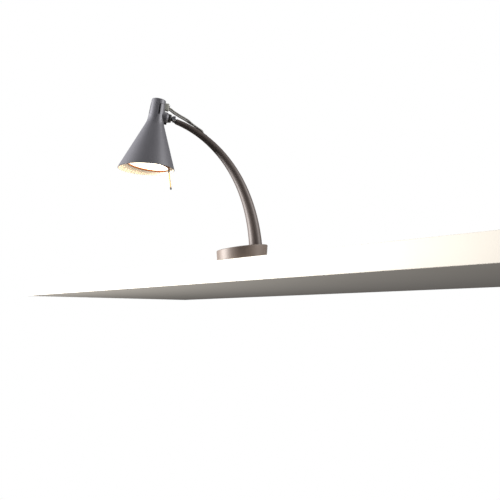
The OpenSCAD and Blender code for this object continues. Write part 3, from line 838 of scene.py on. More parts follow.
# ======== Base ========
@dataclass
class Base:
    """The round housing with its slanted, shallow-domed top, and what shows on it."""

    bench: Bench
    arm: ArmLine
    rim_r: float = 28.9
    top_r: float = 30.0
    height: float = 15.1
    slope: float = 7.2
    dome_r: float = 250.0
    wall: float = 1.6
    rim_gap: float = 0.3
    edge: float = 0.9
    inlet_z: float = 7.4
    inlet_r: float = 3.0
    inlet_bore: float = 1.9
    flange_r: float = 8.3
    flange_t: float = 1.2

    def dome_height(self, x: float, y: float) -> float:
        """The height of the slanted dome over a point."""
        rise = self.dome_r - math.sqrt(self.dome_r**2 - self.top_r**2)
        centre = turn_about(-self.slope, "Y") @ Vector((0, 0, rise - self.dome_r)) + Vector(
            (0, 0, self.height)
        )
        return centre.z + math.sqrt(self.dome_r**2 - (x - centre.x) ** 2 - (y - centre.y) ** 2)

    def side_r(self, z: float) -> float:
        """The radius of the tapered side at a height."""
        return self.rim_r + (self.top_r - self.rim_r) * z / self.height

    def edge_point(self, a: float) -> tuple[float, float]:
        """The radius and height where the side meets the dome, at an angle."""
        z = self.height
        for _ in range(5):
            r = self.side_r(z)
            z = self.dome_height(r * math.cos(a), r * math.sin(a))
        return self.side_r(z), z

    def on_side(self, share: float) -> Place:
        """Places a ring on the side, at a share of the way up to the rounded edge."""

        def place(a: float) -> Vector:
            z = self.rim_gap + (self.edge_point(a)[1] - self.edge - self.rim_gap) * share
            return Vector((self.side_r(z) * math.cos(a), self.side_r(z) * math.sin(a), z))

        return place

    def on_edge(self, bend: float) -> Place:
        """Places a ring on the rounded edge, at an angle of its bend in degrees."""

        def place(a: float) -> Vector:
            r, z = self.edge_point(a)
            out = r - self.edge + self.edge * math.cos(math.radians(bend))
            inner = self.dome_height((r - self.edge) * math.cos(a), (r - self.edge) * math.sin(a))
            up = inner - self.edge + self.edge * math.sin(math.radians(bend))
            blend = bend / 90
            up = (z - self.edge) * (1 - blend) + up * blend + self.edge * math.sin(math.radians(bend)) * (
                1 - blend
            )
            return Vector((out * math.cos(a), out * math.sin(a), up))

        return place

    def on_dome(self, share: float) -> Place:
        """Places a ring on the dome, at a share of its radius."""

        def place(a: float) -> Vector:
            r = (self.edge_point(a)[0] - self.edge) * share
            return Vector(
                (r * math.cos(a), r * math.sin(a), self.dome_height(r * math.cos(a), r * math.sin(a)))
            )

        return place

    def housing(self) -> Mesh:
        """The housing's outer skin, open below, with the hole for the supply lead."""
        loft = Loft(self.on_side(0), 144)
        for i in range(1, 12):
            loft.grow(self.on_side(i / 11))
        for bend in (22.5, 45, 67.5, 90):
            loft.grow(self.on_edge(bend))
        for share in (0.93, 0.8, 0.65, 0.5, 0.35, 0.2, 0.05):
            loft.grow(self.on_dome(share))
        skin = loft.cap().done()
        hole = Vector((0, self.side_r(self.inlet_z), self.inlet_z))
        gone = [f for f in skin.faces if (f.calc_center_median() - hole).length < self.inlet_r - 0.2]
        bmesh.ops.delete(skin, geom=gone, context="FACES")
        for face in skin.faces:
            face.normal_update()
        up = max(skin.faces, key=lambda f: f.calc_center_median().z)
        if up.normal.z < 0:
            bmesh.ops.reverse_faces(skin, faces=skin.faces[:])
        return skin

    def inlet(self) -> Mesh:
        """The bush for the supply lead, with a rounded outer collar."""
        seat = self.side_r(self.inlet_z)
        collar = self.inlet_r + 0.8
        profile = [(self.inlet_bore, seat - 2.6), (self.inlet_r, seat - 2.6), (self.inlet_r, seat + 0.4)]
        profile += [(collar, seat + 0.45)]
        profile += arc((collar - 0.6, seat + 0.95), 0.6, 0, 90, 4)
        profile += arc((self.inlet_bore + 0.5, seat + 1.05), 0.5, 90, 180, 4)
        return turned(profile, 64, closed=True)

    def socket_ring(self) -> Mesh:
        """The bright flange that carries the arm's foot, with its shank and spigot."""
        spigot = self.arm.foot_r - 1.4
        profile = [(3.2, -10), (5, -10), (5, -self.flange_t)]
        profile += arc((self.flange_r - 0.35, -self.flange_t + 0.35), 0.35, -90, 0, 4)
        profile += arc((self.flange_r - 0.5, -0.5), 0.5, 0, 90, 5)
        profile += [(spigot, 0), (spigot, 12), (3.2, 12)]
        return turned(profile, 96, closed=True)

    def build(self) -> None:
        """Makes the base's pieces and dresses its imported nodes."""
        done = self.bench.finishes
        here = Matrix.Identity(4)
        fit = self.bench.fit
        fit(
            "housing_shell", self.housing(), here, Body.BASE, done.base, ["base_housing"], wall=self.wall,
            edge=0.3
        )
        back = Matrix.Translation((0, 0, self.inlet_z)) @ turn_about(-90, "X")
        fit("supply_bush", self.inlet(), back, Body.BASE, done.nylon, ["lead_inlet"])
        fit("foot_flange", self.socket_ring(), self.arm.frame(0), Body.BASE, done.nickel, ["arm_socket"])
        self.bench.dress(
            done.steel, "mounting_plate", "plate_clips", "clip_rivets", "socket_washer", "socket_nut"
        )
        self.bench.dress(done.rubber, "base_gasket")
        self.bench.dress(done.steatite, "terminal_block")
        self.bench.dress(done.brass, "terminal_screws")


# ======== Arm ========
@dataclass
class Arm:
    """The tapered, curved tube, the grommet in its back and the fork in its tip."""

    bench: Bench
    line: ArmLine
    head: HeadPlace
    wall: float = 1.0
    foot_gap: float = 0.45
    rings: int = 96
    exit_s: float = 148.6
    grommet_half: Point = (4.2, 2.3)
    ear_in: float = 1.7
    ear_out: float = 3.2
    ear_r: float = 2.9
    ear_edge: float = 0.18
    plug: Point = (1.15, 9.0)
    screw_r: float = 1.5
    screw_head_r: float = 2.8
    screw_top: float = 4.7
    nut_top: float = 5.4
    key: float = 2.8

    def tube(self) -> Mesh:
        """The tube's outer skin. It stops short of the foot's flange by a shadow gap."""

        def ring(s: float) -> Place:
            frame = self.line.frame(s)
            return lambda a: frame @ circle(self.line.radius(s), 0)(a)

        span = self.line.length - self.foot_gap
        loft = Loft(ring(self.foot_gap), 72)
        for i in range(1, self.rings + 1):
            loft.grow(ring(self.foot_gap + span * i / self.rings))
        return loft.done()

    def grommet(self) -> Mesh:
        """The oval rubber lip where the leads go into the arm. It follows the tube's surface."""

        def oval(size: float, lift: float) -> Place:
            def place(a: float) -> Vector:
                s = self.exit_s + self.grommet_half[0] * math.cos(a) * size
                y = self.grommet_half[1] * math.sin(a) * size
                return self.line.frame(s) @ Vector((math.sqrt(self.line.radius(s) ** 2 - y * y) + lift, y, 0))

            return place

        loft = Loft(oval(0.9, -0.9), 40).cap()
        for size, lift in [
            (0.9, -0.1), (1.0, 0.02), (1.0, 0.12), (0.94, 0.24), (0.84, 0.27), (0.74, 0.2), (0.68, 0.05)
        ]:
            loft.grow(oval(size, lift))
        return loft.cap().done()

    def fork(self) -> Mesh:
        """The collar on the tube's end and the two ears that hold the hinge screw."""
        frame = self.line.frame(self.line.length)
        at = frame.inverted() @ self.head.hinge
        r = self.line.tip_r
        inset, deep = self.plug
        collar = [
            (0, -deep), (r - inset, -deep), (r - inset, 0), (r, 0), (r, 0.75), (r - 0.25, 1.0), (0, 1.0)
        ]
        outline = [(-2.4, 0.5), (2.6, 0.5)] + arc((at.x, at.z), self.ear_r, -5, 185, 24)
        faces = ((self.ear_in, self.ear_out), (-self.ear_out, -self.ear_in))
        ears = [softened(plate(outline, low, high), self.ear_edge) for low, high in faces]
        return merged(turned(collar, 64), *ears)

    def build(self) -> None:
        """Makes the arm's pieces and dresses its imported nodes."""
        done = self.bench.finishes
        here = Matrix.Identity(4)
        fit = self.bench.fit
        fit("arm_bow", self.tube(), here, Body.BASE, done.arm, ["arm_tube"], wall=self.wall, edge=0.2)
        fit("arm_grommet", self.grommet(), here, Body.BASE, done.rubber, ["lead_grommet"])
        fit(
            "arm_fork", self.fork(), self.line.frame(self.line.length), Body.BASE, done.dark_steel,
            ["tip_fork"]
        )
        screw = socket_screw(
            self.screw_r, -self.nut_top - 0.2, self.ear_out, self.screw_head_r, self.screw_top, self.key
        )
        fit("tilt_screw", screw, self.head.pin(), Body.BASE, done.nickel, ["hinge_screw"])
        nut = hex_nut(self.screw_r, 5.2, -self.nut_top, -self.ear_out)
        fit("tilt_nut", nut, self.head.pin(), Body.BASE, done.steel, ["hinge_nut"])
        self.bench.dress(done.nickel, "hinge_washers")
        self.bench.dress(done.sleeve, "arm_leads")


# ======== Joint ========
@dataclass
class Joint:
    """The knuckle between the arm and the drum, and the friction ring on it."""

    bench: Bench
    head: HeadPlace
    tongue_r: float = 2.6
    tongue_half: float = 1.3
    flange_r: float = 4.6
    flange: Point = (16.8, 17.7)
    stem_r: float = 2.2
    stem_end: float = 8.2
    ring: Point = (14.45, 16.8)
    ring_r: Point = (5.2, 4.9)

    def knuckle(self) -> Mesh:
        """The tongue, the flange and the stem, turned and milled from one bar."""
        drop, reach = self.head.drop, self.head.reach
        start = self.flange[1] - 0.2
        outline = [(start, -drop - self.tongue_r)] + arc((reach, -drop), self.tongue_r, -90, 90, 24)
        outline += [(start, -drop + self.tongue_r)]
        tongue = softened(plate(outline, -self.tongue_half, self.tongue_half), 0.15)
        low, high = self.flange
        stem = [(0, self.stem_end), (self.stem_r - 0.2, self.stem_end), (self.stem_r, self.stem_end + 0.2)]
        stem += [(self.stem_r, low), (self.flange_r, low)]
        stem += arc((self.flange_r - 0.3, high - 0.3), 0.3, 0, 90, 4) + [(0, high)]
        local = self.head.head().inverted() @ self.head.swivel()
        return merged(tongue, moved(turned(stem, 72), local))

    def friction(self) -> Mesh:
        """The black friction ring, with two fine grooves round it."""
        low, high = self.ring
        near, far = self.ring_r
        profile = [(self.stem_r, low), (near - 0.15, low), (near, low + 0.15)]
        for share in (0.35, 0.65):
            r = near + (far - near) * share
            z = low + (high - low) * share
            profile += [(r, z - 0.16), (r - 0.16, z - 0.06), (r - 0.16, z + 0.06), (r, z + 0.16)]
        profile += [(far, high - 0.2), (far - 0.2, high), (self.stem_r, high)]
        return turned(profile, 96, closed=True)

    def build(self) -> None:
        """Makes the joint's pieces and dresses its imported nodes."""
        done = self.bench.finishes
        fit = self.bench.fit
        fit("knuckle_body", self.knuckle(), self.head.head(), Body.KNUCKLE, done.dark_steel, ["knuckle"])
        fit(
            "friction_collar", self.friction(), self.head.swivel(), Body.KNUCKLE, done.nylon,
            ["friction_ring"]
        )
        self.bench.dress(done.steel, "swivel_washer", "swivel_nut")


# ======== Head ========
@dataclass
class Head:
    """The spun shade with its slim neck, the cap, the swivel drum and the strain relief."""

    bench: Bench
    place: HeadPlace
    neck_r: float = 8.4
    cap_top: float = 2.9
    cap_crown: float = 1.0
    cap_edge: float = 1.1
    seam: float = -2.6
    widens: float = 0.048
    cone_half: float = 21.9
    blend_r: float = 30.0
    wall: float = 1.0
    mouth: Point = (31.1, -77.4)
    mouth_slant: float = 6.8
    shade_steps: int = 180
    slot_angles: tuple[int, ...] = (108, 198, 288)
    slot_half: float = 6.0
    slot_heights: Point = (-16.0, -3.2)
    drum_r: float = 6.6
    drum_out: float = 14.4
    drum_flat: float = 11.6
    drum_shoulder: float = 2.2
    drum_face_r: float = 5.0
    drum_bore_r: float = 2.26
    drum_web: float = 11.2
    nut_pocket: Point = (4.2, 9.4)
    relief_edge: float = 0.8
    relief_low: tuple[float, float, float] = (7.2, -3.2, -8.2)
    relief_high: tuple[float, float, float] = (12.9, 3.2, 0.0)
    lead_half: float = 1.05
    lead_z: float = -5.6
    relief_screw_z: float = -1.9

    def neck_line(self, s: float) -> float:
        """The neck's outer radius, s below the apex."""
        return self.neck_r + (self.cap_top + s) * self.widens

    def shade_line(self, end: float) -> list[Point]:
        """The shade's outer profile from the seam down to a depth past the mouth."""
        slope = math.tan(math.radians(self.cone_half))
        neck = math.atan(self.widens)
        turn = math.radians(self.cone_half) - neck
        meet = (self.neck_r + self.cap_top * self.widens) / (slope - self.widens)
        start = meet - self.blend_r * math.tan(turn / 2) * math.cos(neck)
        start_r = self.neck_line(start)
        low, high = self.slot_heights
        rows = [-self.seam, -self.seam + 0.25, -high, (-high - low) / 2, -low, start - 0.2]
        line = [(self.neck_line(s) - (0.2 if s == -self.seam else 0), -s) for s in rows]
        for i in range(13):
            a = neck + turn * i / 12
            r = start_r + self.blend_r * (math.cos(neck) - math.cos(a))
            line.append((r, -(start + self.blend_r * (math.sin(a) - math.sin(neck)))))
        last = -line[-1][1]
        for i in range(1, 13):
            s = last + (end - last) * i / 12
            line.append((s * slope, -s))
        return line

    def shade(self) -> Mesh:
        """The shade's outer skin, cut along its slanted mouth and with its three vent slots."""
        skin = turned(self.shade_line(90), self.shade_steps)
        slant = math.radians(self.mouth_slant)
        bmesh.ops.bisect_plane(
            skin,
            geom=skin.verts[:] + skin.edges[:] + skin.faces[:],
            plane_co=(self.mouth[0], 0, self.mouth[1]),
            plane_no=(math.sin(slant), 0, -math.cos(slant)),
            clear_outer=True,
        )
        low, high = self.slot_heights

        def in_slot(face: bmesh.types.BMFace) -> bool:
            centre = face.calc_center_median()
            angle = math.degrees(math.atan2(centre.y, centre.x)) % 360
            near = min(abs(angle - a) for a in self.slot_angles)
            return near < self.slot_half and low < centre.z < high

        bmesh.ops.delete(skin, geom=[f for f in skin.faces if in_slot(f)], context="FACES")
        face = skin.faces[:][0]
        if face.normal.dot(face.calc_center_median() * Vector((1, 1, 0))) < 0:
            bmesh.ops.reverse_faces(skin, faces=skin.faces[:])
        return skin

    def cap(self) -> Mesh:
        """The cap, with a shallow crown, a rounded edge and a spigot in the neck."""
        bottom = self.neck_line(-self.seam)
        spigot = bottom - self.wall - 0.05
        crown_r = (self.neck_r**2 + self.cap_crown**2) / (2 * self.cap_crown)
        crown_z = self.cap_top + self.cap_crown - crown_r
        edge_at = self.neck_r - self.cap_edge
        edge_z = crown_z + math.sqrt((crown_r - self.cap_edge) ** 2 - edge_at**2)
        bend = math.degrees(math.acos(edge_at / (crown_r - self.cap_edge)))
        profile = arc((0, crown_z), crown_r, 90, bend, 10)[:-1]
        profile += arc((edge_at, edge_z), self.cap_edge, bend, 0, 8)
        profile += [(bottom, self.seam + 0.3), (bottom - 0.2, self.seam + 0.06), (spigot, self.seam + 0.06)]
        profile += [(spigot, -3.4), (spigot - 1, -3.4), (spigot - 1, 1), (4.6, 1), (4.6, -4.4)]
        profile += [(2.4, -4.4), (2.4, 1.4), (0, 1.4)]
        return turned(profile, 120)

    def drum(self) -> Mesh:
        """The swivel drum, cut to the neck's round side, with a shoulder on its outer edge."""

        def on_neck(a: float) -> Vector:
            down = self.place.drop + self.drum_r * math.cos(a)
            y = self.drum_r * math.sin(a)
            deep = math.sqrt(self.neck_line(down) ** 2 - y * y) - 0.4
            return Vector((self.drum_r * math.cos(a), y, deep))

        loft = Loft(on_neck, 96)
        steps = [(self.drum_r, 10.0), (self.drum_r, self.drum_flat)]
        steps += arc((self.drum_r - self.drum_shoulder, self.drum_flat), self.drum_shoulder, 15, 55, 5)
        steps += [(self.drum_face_r + 0.15, self.drum_out - 0.15), (self.drum_face_r, self.drum_out)]
        steps += [(self.drum_bore_r, self.drum_out), (self.drum_bore_r, self.drum_web)]
        steps += [(self.nut_pocket[0], self.drum_web), self.nut_pocket]
        for r, z in steps:
            loft.grow(circle(r, z))
        return loft.grow(on_neck).done()

    def relief(self) -> Mesh:
        """The strain relief block, screwed to the neck."""
        return block(self.relief_low, self.relief_high, self.relief_edge)

    def bush(self, seat: float) -> Mesh:
        """The long bush round both leads, one above the other."""

        def oval(r: float, z: float) -> Place:
            def place(a: float) -> Vector:
                shift = math.copysign(self.lead_half, math.cos(a))
                return Vector((shift - self.lead_z + r * math.cos(a), r * math.sin(a), z))

            return place

        loft = Loft(oval(1.02, seat - 0.8), 48)
        for r, z in [(1.4, -0.8), (1.4, 0.15), (1.32, 0.28), (1.2, 0.32), (1.02, 0.32), (1.02, -0.8)]:
            loft.grow(oval(r, seat + z))
        return loft.done()

    def build(self) -> None:
        """Makes the head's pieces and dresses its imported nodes."""
        done = self.bench.finishes
        here = self.place.head()
        fit = self.bench.fit
        fit(
            "shade_shell", self.shade(), here, Body.HEAD, done.shade, ["shade"],
            wall=self.wall, inside=done.enamel, edge=0.15,
        )
        fit("neck_cap", self.cap(), here, Body.HEAD, done.shade, ["top_cap"])
        fit("neck_drum", self.drum(), self.place.swivel(), Body.HEAD, done.shade, ["swivel_drum"])
        lug_z = -self.place.drop - self.drum_r - 1.4
        lug = block((8.9, -1.6, lug_z), (13.0, 1.6, lug_z + 2.2), 0.35)
        fit("drum_stop", lug, here, Body.HEAD, done.nylon, ["stop_lug"])
        fit("relief_block", self.relief(), here, Body.HEAD, done.olive, ["strain_relief"])
        out = here @ turn_about(90, "Y")
        seat = self.relief_high[0]
        fit("relief_bushes", self.bush(seat), out, Body.HEAD, done.nylon)
        screw = moved(
            socket_screw(0.9, -4.0, 0.05, 1.5, 0.85, 1.3), Matrix.Translation((-self.relief_screw_z, 0, seat))
        )
        fit("relief_screw", screw, out, Body.HEAD, done.nickel, ["strain_relief_screw"])
        self.bench.dress(done.steel, "tie_rod", "tie_nut", "holder_bracket", "holder_screws")


# ======== Lamp and mouth ========
@dataclass
class LampUnit:
    """The lamp, its reflector, and the glass in its ring."""

    bench: Bench
    place: HeadPlace
    reflector_s: float = 45.5
    flange_s: float = 73.4
    glass: Point = (-74.0, -76.0)
    glass_r: float = 24.2
    ring_r: float = 25.6
    ring: Point = (-72.0, -78.0)
    lip_r: float = 23.6
    bulb_r: float = 4.5
    bowl_r: Point = (9.0, 22.8)
    bowl_wall: float = 0.6

    def ring_shape(self) -> Mesh:
        """The ring that holds the glass: a rolled outer edge and a thin inner lip."""
        top, end = self.ring
        inner = self.glass_r + 0.1
        profile = [(self.ring_r, top), (self.ring_r, end + 0.7)]
        profile += arc((self.ring_r - 0.5, end + 0.5), 0.5, 0, -90, 5)
        profile += [(self.lip_r + 0.25, end), (self.lip_r, end + 0.25), (self.lip_r, self.glass[1] - 0.25)]
        profile += [(self.lip_r + 0.25, self.glass[1]), (inner, self.glass[1]), (inner, top)]
        return turned(profile, 144, closed=True)

    def pane(self) -> Mesh:
        """The cover glass, with ground edges."""
        top, low = self.glass
        r = self.glass_r
        return turned(
            [(0, top), (r - 0.3, top), (r, top - 0.3), (r, low + 0.3), (r - 0.3, low), (0, low)], 144
        )

    def bowl(self) -> Mesh:
        """The spun reflector with its flat flange under the ring."""
        near, far = self.bowl_r
        depth = self.flange_s - self.reflector_s - self.bowl_wall
        line = [
            (near + (far - near) * (i / 16) ** 0.7, -self.reflector_s - self.bowl_wall - depth * i / 16)
            for i in range(17)
        ]
        hole = self.bulb_r + 0.6
        profile = [(hole, -self.reflector_s - self.bowl_wall)] + line
        profile += [(far, self.glass[0]), (self.glass_r, self.glass[0]), (self.glass_r, -self.flange_s)]
        profile += [(r + self.bowl_wall, z) for r, z in reversed(line)]
        profile += [(near + self.bowl_wall, -self.reflector_s), (hole, -self.reflector_s)]
        return turned(profile, 120, closed=True)

    def capsule(self) -> Mesh:
        """The halogen capsule: a pinched foot, a round envelope and a domed tip."""
        top = -self.reflector_s - 1
        tip = -self.reflector_s - 19
        profile = [
            (0, top), (1.6, top), (2.1, top - 0.4), (2.4, top - 4), (3.6, top - 6), (self.bulb_r, top - 8)
        ]
        profile += arc((0, tip), self.bulb_r, 0, -90, 10)
        return turned(profile, 64)

    def filament(self) -> Mesh:
        """The coiled filament across the capsule, drawn coarser than it is so that it shows."""
        turns, step, coil_r, wire, long = 10, 12, 0.9, 0.16, 6.0
        level = -self.reflector_s - 15

        def at(i: float) -> Vector:
            a = math.tau * i / step
            across = long * (i / (turns * step) - 0.5)
            return Vector((coil_r * math.cos(a), across, level + coil_r * math.sin(a)))

        return tube([at(i) for i in range(turns * step + 1)], wire, 6)

    def build(self) -> None:
        """Makes the lamp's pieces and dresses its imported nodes."""
        done = self.bench.finishes
        here = self.place.head()
        fit = self.bench.fit
        fit("mouth_ring", self.ring_shape(), here, Body.HEAD, done.ring, ["glass_ring"])
        fit("mouth_glass", self.pane(), here, Body.HEAD, done.glass, ["cover_glass"])
        fit("reflector_bowl", self.bowl(), here, Body.HEAD, done.reflector, ["reflector"])
        fit("lamp_capsule", self.capsule(), here, Body.HEAD, done.quartz, ["bulb"])
        fit("lamp_filament", self.filament(), here, Body.HEAD, done.steel)
        self.bench.dress(done.steatite, "lamp_holder")
        self.bench.dress(done.steel, "bulb_pins", "reflector_screws", "ring_clips")
        self.bench.dress(done.sleeve, "holder_leads")


# ======== Handle rod ========
@dataclass
class HandleRod:
    """The thin rod below the ring, by which the hot head is turned."""

    bench: Bench
    place: HeadPlace
    start: Point = (24.4, -78.0)
    lean: float = 15.5
    length: float = 22.4
    rod_r: float = 0.6
    socket_r: float = 1.2
    tip_r: float = 1.0

    def build(self) -> None:
        """Makes the rod, its socket and its tip."""
        done = self.bench.finishes
        here = self.place.head() @ Matrix.Translation((self.start[0], 0, self.start[1])) @ turn_about(
            180 - self.lean, "Y"
        )
        fit = self.bench.fit
        rod = turned([(0, 0.3), (self.rod_r, 0.3), (self.rod_r, self.length), (0, self.length)], 32)
        fit("turning_rod", rod, here, Body.HEAD, done.brass, ["handle_rod"])
        collar = [(self.rod_r, 0.35), (self.socket_r, 0.35), (self.socket_r, 2.3)]
        collar += arc((self.socket_r - 0.4, 2.6), 0.4, 0, 90, 4) + [(self.rod_r, 3.0)]
        fit("rod_collar", turned(collar, 40, closed=True), here, Body.HEAD, done.nylon, ["rod_socket"])
        low = self.length - 1.6
        tip = [(self.rod_r, low), (self.tip_r - 0.25, low), (self.tip_r, low + 0.25), (self.tip_r, low + 0.8)]
        tip += [(self.tip_r - 0.12, low + 0.95), (self.tip_r, low + 1.1)]
        tip += arc((0, low + 1.8), self.tip_r, 0, 90, 8) + [(0, low + 1.6), (self.rod_r, low + 1.6)]
        fit("rod_end", turned(tip, 40, closed=True), here, Body.HEAD, done.nylon, ["rod_tip"])


# ======== Leads ========
def tube(points: Sequence[Vector], radius: float, sides: int) -> Mesh:
    """A tube along points, with a pattern map that follows it in millimetres.

    Args:
        points: The centre line.
        radius: The tube's radius.
        sides: How many sides it has.

    Returns:
        The tube, closed at both ends.
    """
    last = len(points) - 1
    loft = None
    run = 0.0
    for i, at in enumerate(points):
        way = (points[min(i + 1, last)] - points[max(i - 1, 0)]).normalized()
        side = way.cross(Vector((0, 1, 0)) if abs(way.y) < 0.9 else Vector((1, 0, 0))).normalized()
        up = side.cross(way)

        def ring(a: float, at: Vector = at, side: Vector = side, up: Vector = up) -> Vector:
            return at + radius * (math.cos(a) * side + math.sin(a) * up)

        run += (at - points[max(i - 1, 0)]).length
        loft = Loft(ring, sides).cap() if loft is None else loft.grow(ring, run)
    loft.cap()
    mapped = loft.bm.loops.layers.uv.new("lead_map")
    for face in loft.bm.faces:
        turns = [loop.vert[loft.turn] for loop in face.loops]
        wraps = max(turns) - min(turns) > math.pi
        for loop, turn in zip(face.loops, turns):
            around = turn + (math.tau if wraps and turn < math.pi else 0.0)
            loop[mapped].uv = (around * radius, loop.vert[loft.run])
    bmesh.ops.recalc_face_normals(loft.bm, faces=loft.bm.faces[:])
    return loft.bm


def rounded_line(points: Sequence[Vector], steps: int = 3) -> list[Vector]:
    """A smooth line through points, with a few more points between them."""
    line = []
    last = len(points) - 1
    for i in range(last):
        a, b, c, d = (points[max(0, min(last, k))] for k in (i - 1, i, i + 1, i + 2))
        for j in range(steps):
            t = j / steps
            line.append(
                0.5 * (
                    2 * b + (c - a) * t + (2 * a - 5 * b + 4 * c - d) * t**2 + (3 * b - a - 3 * c + d) * t**3
                )
            )
    return line + [points[last]]


@dataclass
class Leads:
    """The two thin free leads between the head and the arm. Each bends at the hinge and again at the swivel.

    They lie one above the other at the head, and turn side by side before they enter the arm.
    """

    bench: Bench
    radius: float = 1.0
    half: float = 1.05
    # Midway between the two, from the head's strain relief to the arm, as (X, Z)
    route: tuple[Point, ...] = (
        (-87.2, 179.2), (-86.4, 179.1), (-85.1, 178.4), (-83.3, 176.9), (-81.3, 175.4), (-79, 173.9),
        (-76.5, 172.4), (-74, 170.9), (-71.4, 169.5), (-68.8, 168.1), (-66.3, 166.6), (-64, 165.1),
        (-61.9, 163.6), (-59.6, 162), (-57, 160.3), (-54.1, 158.3), (-51.4, 156.5), (-49.3, 155.1),
        (-47.6, 153.8), (-46.8, 152.3),
    )
    split: int = 6
    bend: int = 9
    twist_from: int = 9
    twist_to: int = 14

    def points(self, side: int) -> list[Vector]:
        """One lead's points, from the head to the arm.

        Args:
            side: 1 for the upper lead, and -1 for the lower one.

        Returns:
            The points, in millimetres.
        """
        last = len(self.route) - 1
        line = []
        for i, (x, z) in enumerate(self.route):
            ahead, behind = self.route[min(i + 1, last)], self.route[max(i - 1, 0)]
            out = Vector((behind[1] - ahead[1], 0, ahead[0] - behind[0])).normalized()
            t = min(1.0, max(0.0, (i - self.twist_from) / (self.twist_to - self.twist_from)))
            turn = math.pi / 2 * (1 - t * t * (3 - 2 * t))
            across = Vector((0, -self.half * math.cos(turn), 0))
            line.append(Vector((x, 0, z)) + side * (self.half * math.sin(turn) * out + across))
        return line

    def build(self) -> None:
        sleeve = self.bench.finishes.sleeve
        here = Matrix.Identity(4)
        for name, side in (("upper", 1), ("lower", -1)):
            line = self.points(side)
            run, tail = line[self.split :][::-1], line[: self.split + 1][::-1]
            split = run[-1] * MM
            node = f"lead_{name}"
            long = self.bench.fit(f"{node}_run", self.sleeve(run), here, None, sleeve, [node])
            short = self.bench.fit(f"{node}_end", self.sleeve(tail), here, None, sleeve, [node])
            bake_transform(long, Body.BASE.value, Body.KNUCKLE.value, start=line[self.bend] * MM, end=split)
            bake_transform(short, Body.KNUCKLE.value, Body.HEAD.value, start=split, end=tail[-1] * MM)

    def sleeve(self, points: Sequence[Vector]) -> Mesh:
        """A stretch of lead in its sleeve."""
        return tube(rounded_line(points), self.radius, 16)


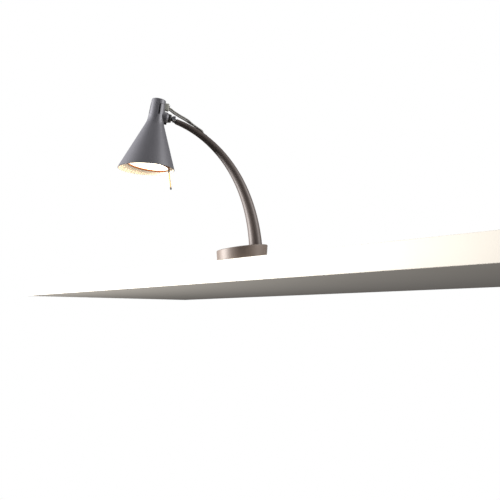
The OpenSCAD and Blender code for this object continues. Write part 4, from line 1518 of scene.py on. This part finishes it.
# ======== Studio ========
@dataclass
class Studio:
    """The camera, the pale slab that the lamp stands on, and soft light from both sides."""

    eye: tuple[float, float, float] = (-0.0984, -0.8037, -0.0715)
    azimuth: float = 7.656
    elevation: float = 5.953
    lens: float = 49.93
    slab_edge: float = 29.0
    slab_turn: float = -56.66
    slab_ends: Point = (-546.0, 754.0)
    slab_depth: float = 340.0
    slab_thick: float = 26.0
    middle: tuple[float, float, float] = (-0.04, 0.0, 0.1)
    sensor: float = 36.0
    surround: float = 1.0
    fill: float = 0.16
    fill_colour: str = "e6e6ea"
    # Each softbox's name, place in metres, width and height, and power
    boxes: tuple = (
        ("left_box", (-0.85, 0.05, 0.08), (0.4, 0.7), 23),
        ("right_box", (0.75, -0.25, 0.4), (0.25, 0.5), 7.5),
        ("top_box", (-0.05, -0.1, 0.85), (0.4, 0.4), 1),
    )

    def camera(self) -> None:
        """Sets up the camera, a little below the slab's top and looking up."""
        data = bpy.data.cameras.new("camera")
        data.lens = self.lens
        data.sensor_width = self.sensor
        camera = bpy.data.objects.new("camera", data)
        camera.location = self.eye
        camera.rotation_euler = (
            math.radians(90 + self.elevation), 0, math.radians(-self.azimuth)
        )
        bpy.context.scene.collection.objects.link(camera)
        bpy.context.scene.camera = camera

    def slab(self) -> None:
        """Makes the slab, with its front edge just before the base."""
        left, right = self.slab_ends
        shape = block(
            (left, -self.slab_edge, -self.slab_thick), (right, self.slab_depth - self.slab_edge, 0), 0.8
        )
        moved(shape, Matrix.Scale(MM, 4) @ turn_about(self.slab_turn, "Z"))
        mesh = bpy.data.meshes.new("slab")
        shape.to_mesh(mesh)
        shape.free()
        mesh.shade_smooth()
        mesh.set_sharp_from_angle(angle=SHARP)
        board = Finish("pale_matt_board", "floor", "e9e2d6", "e4dccf", 0.7, patch_mm=90, grain_mm=1.5)
        mesh.materials.append(board.material())
        slab = bpy.data.objects.new("slab", mesh)
        bpy.context.scene.collection.objects.link(slab)

    def softbox(self, name: str, place: Sequence[float], size: Point, power: float) -> None:
        """Adds a soft light that faces the lamp's middle.

        Args:
            name: The light's name.
            place: Where it stands, in metres.
            size: Its width and height.
            power: Its power in watts.
        """
        data = bpy.data.lights.new(name, "AREA")
        data.shape = "RECTANGLE"
        data.size, data.size_y = size
        data.energy = power
        light = bpy.data.objects.new(name, data)
        light.location = place
        light.rotation_euler = (Vector(self.middle) - Vector(place)).to_track_quat("-Z", "Y").to_euler()
        bpy.context.scene.collection.objects.link(light)

    def light(self) -> None:
        """Adds the softboxes and a white surround."""
        for box in self.boxes:
            self.softbox(*box)
        world = bpy.data.worlds.new("surround")
        world.use_nodes = True
        tree = world.node_tree
        tree.nodes.clear()
        seen = add_node(
            tree, "ShaderNodeBackground", links={"Color": (1, 1, 1, 1), "Strength": self.surround}
        )
        lit = add_node(
            tree, "ShaderNodeBackground", links={"Color": linear(self.fill_colour), "Strength": self.fill}
        )
        rays = add_node(tree, "ShaderNodeLightPath")
        both = add_node(
            tree,
            "ShaderNodeMixShader",
            links={0: rays.outputs["Is Camera Ray"], 1: lit.outputs[0], 2: seen.outputs[0]},
        )
        add_node(tree, "ShaderNodeOutputWorld", links={"Surface": both.outputs[0]})
        bpy.context.scene.world = world
        bpy.context.scene.view_settings.view_transform = "Standard"

    def build(self) -> None:
        """Sets up the whole studio."""
        self.camera()
        self.slab()
        self.light()


def main() -> None:
    """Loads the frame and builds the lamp's sub-assemblies in order."""
    logging.basicConfig(level=logging.INFO, format="%(name)s %(message)s")
    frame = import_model()
    place = HeadPlace.read(frame["joints"])
    axis = place.head()
    axis_m = Matrix.Translation(axis.to_translation() * MM) @ axis.to_3x3().to_4x4()
    glass_m = axis_m @ Matrix.Translation((0, 0, -76 * MM))
    bench = Bench(Finishes.along(axis_m, glass_m), frame["nodes"])
    line = ArmLine()
    Studio().build()
    Leads(bench).build()
    Base(bench, line).build()
    Arm(bench, line, place).build()
    Joint(bench, place).build()
    Head(bench, place).build()
    LampUnit(bench, place).build()
    HandleRod(bench, place).build()


if __name__ == "__main__":
    main()
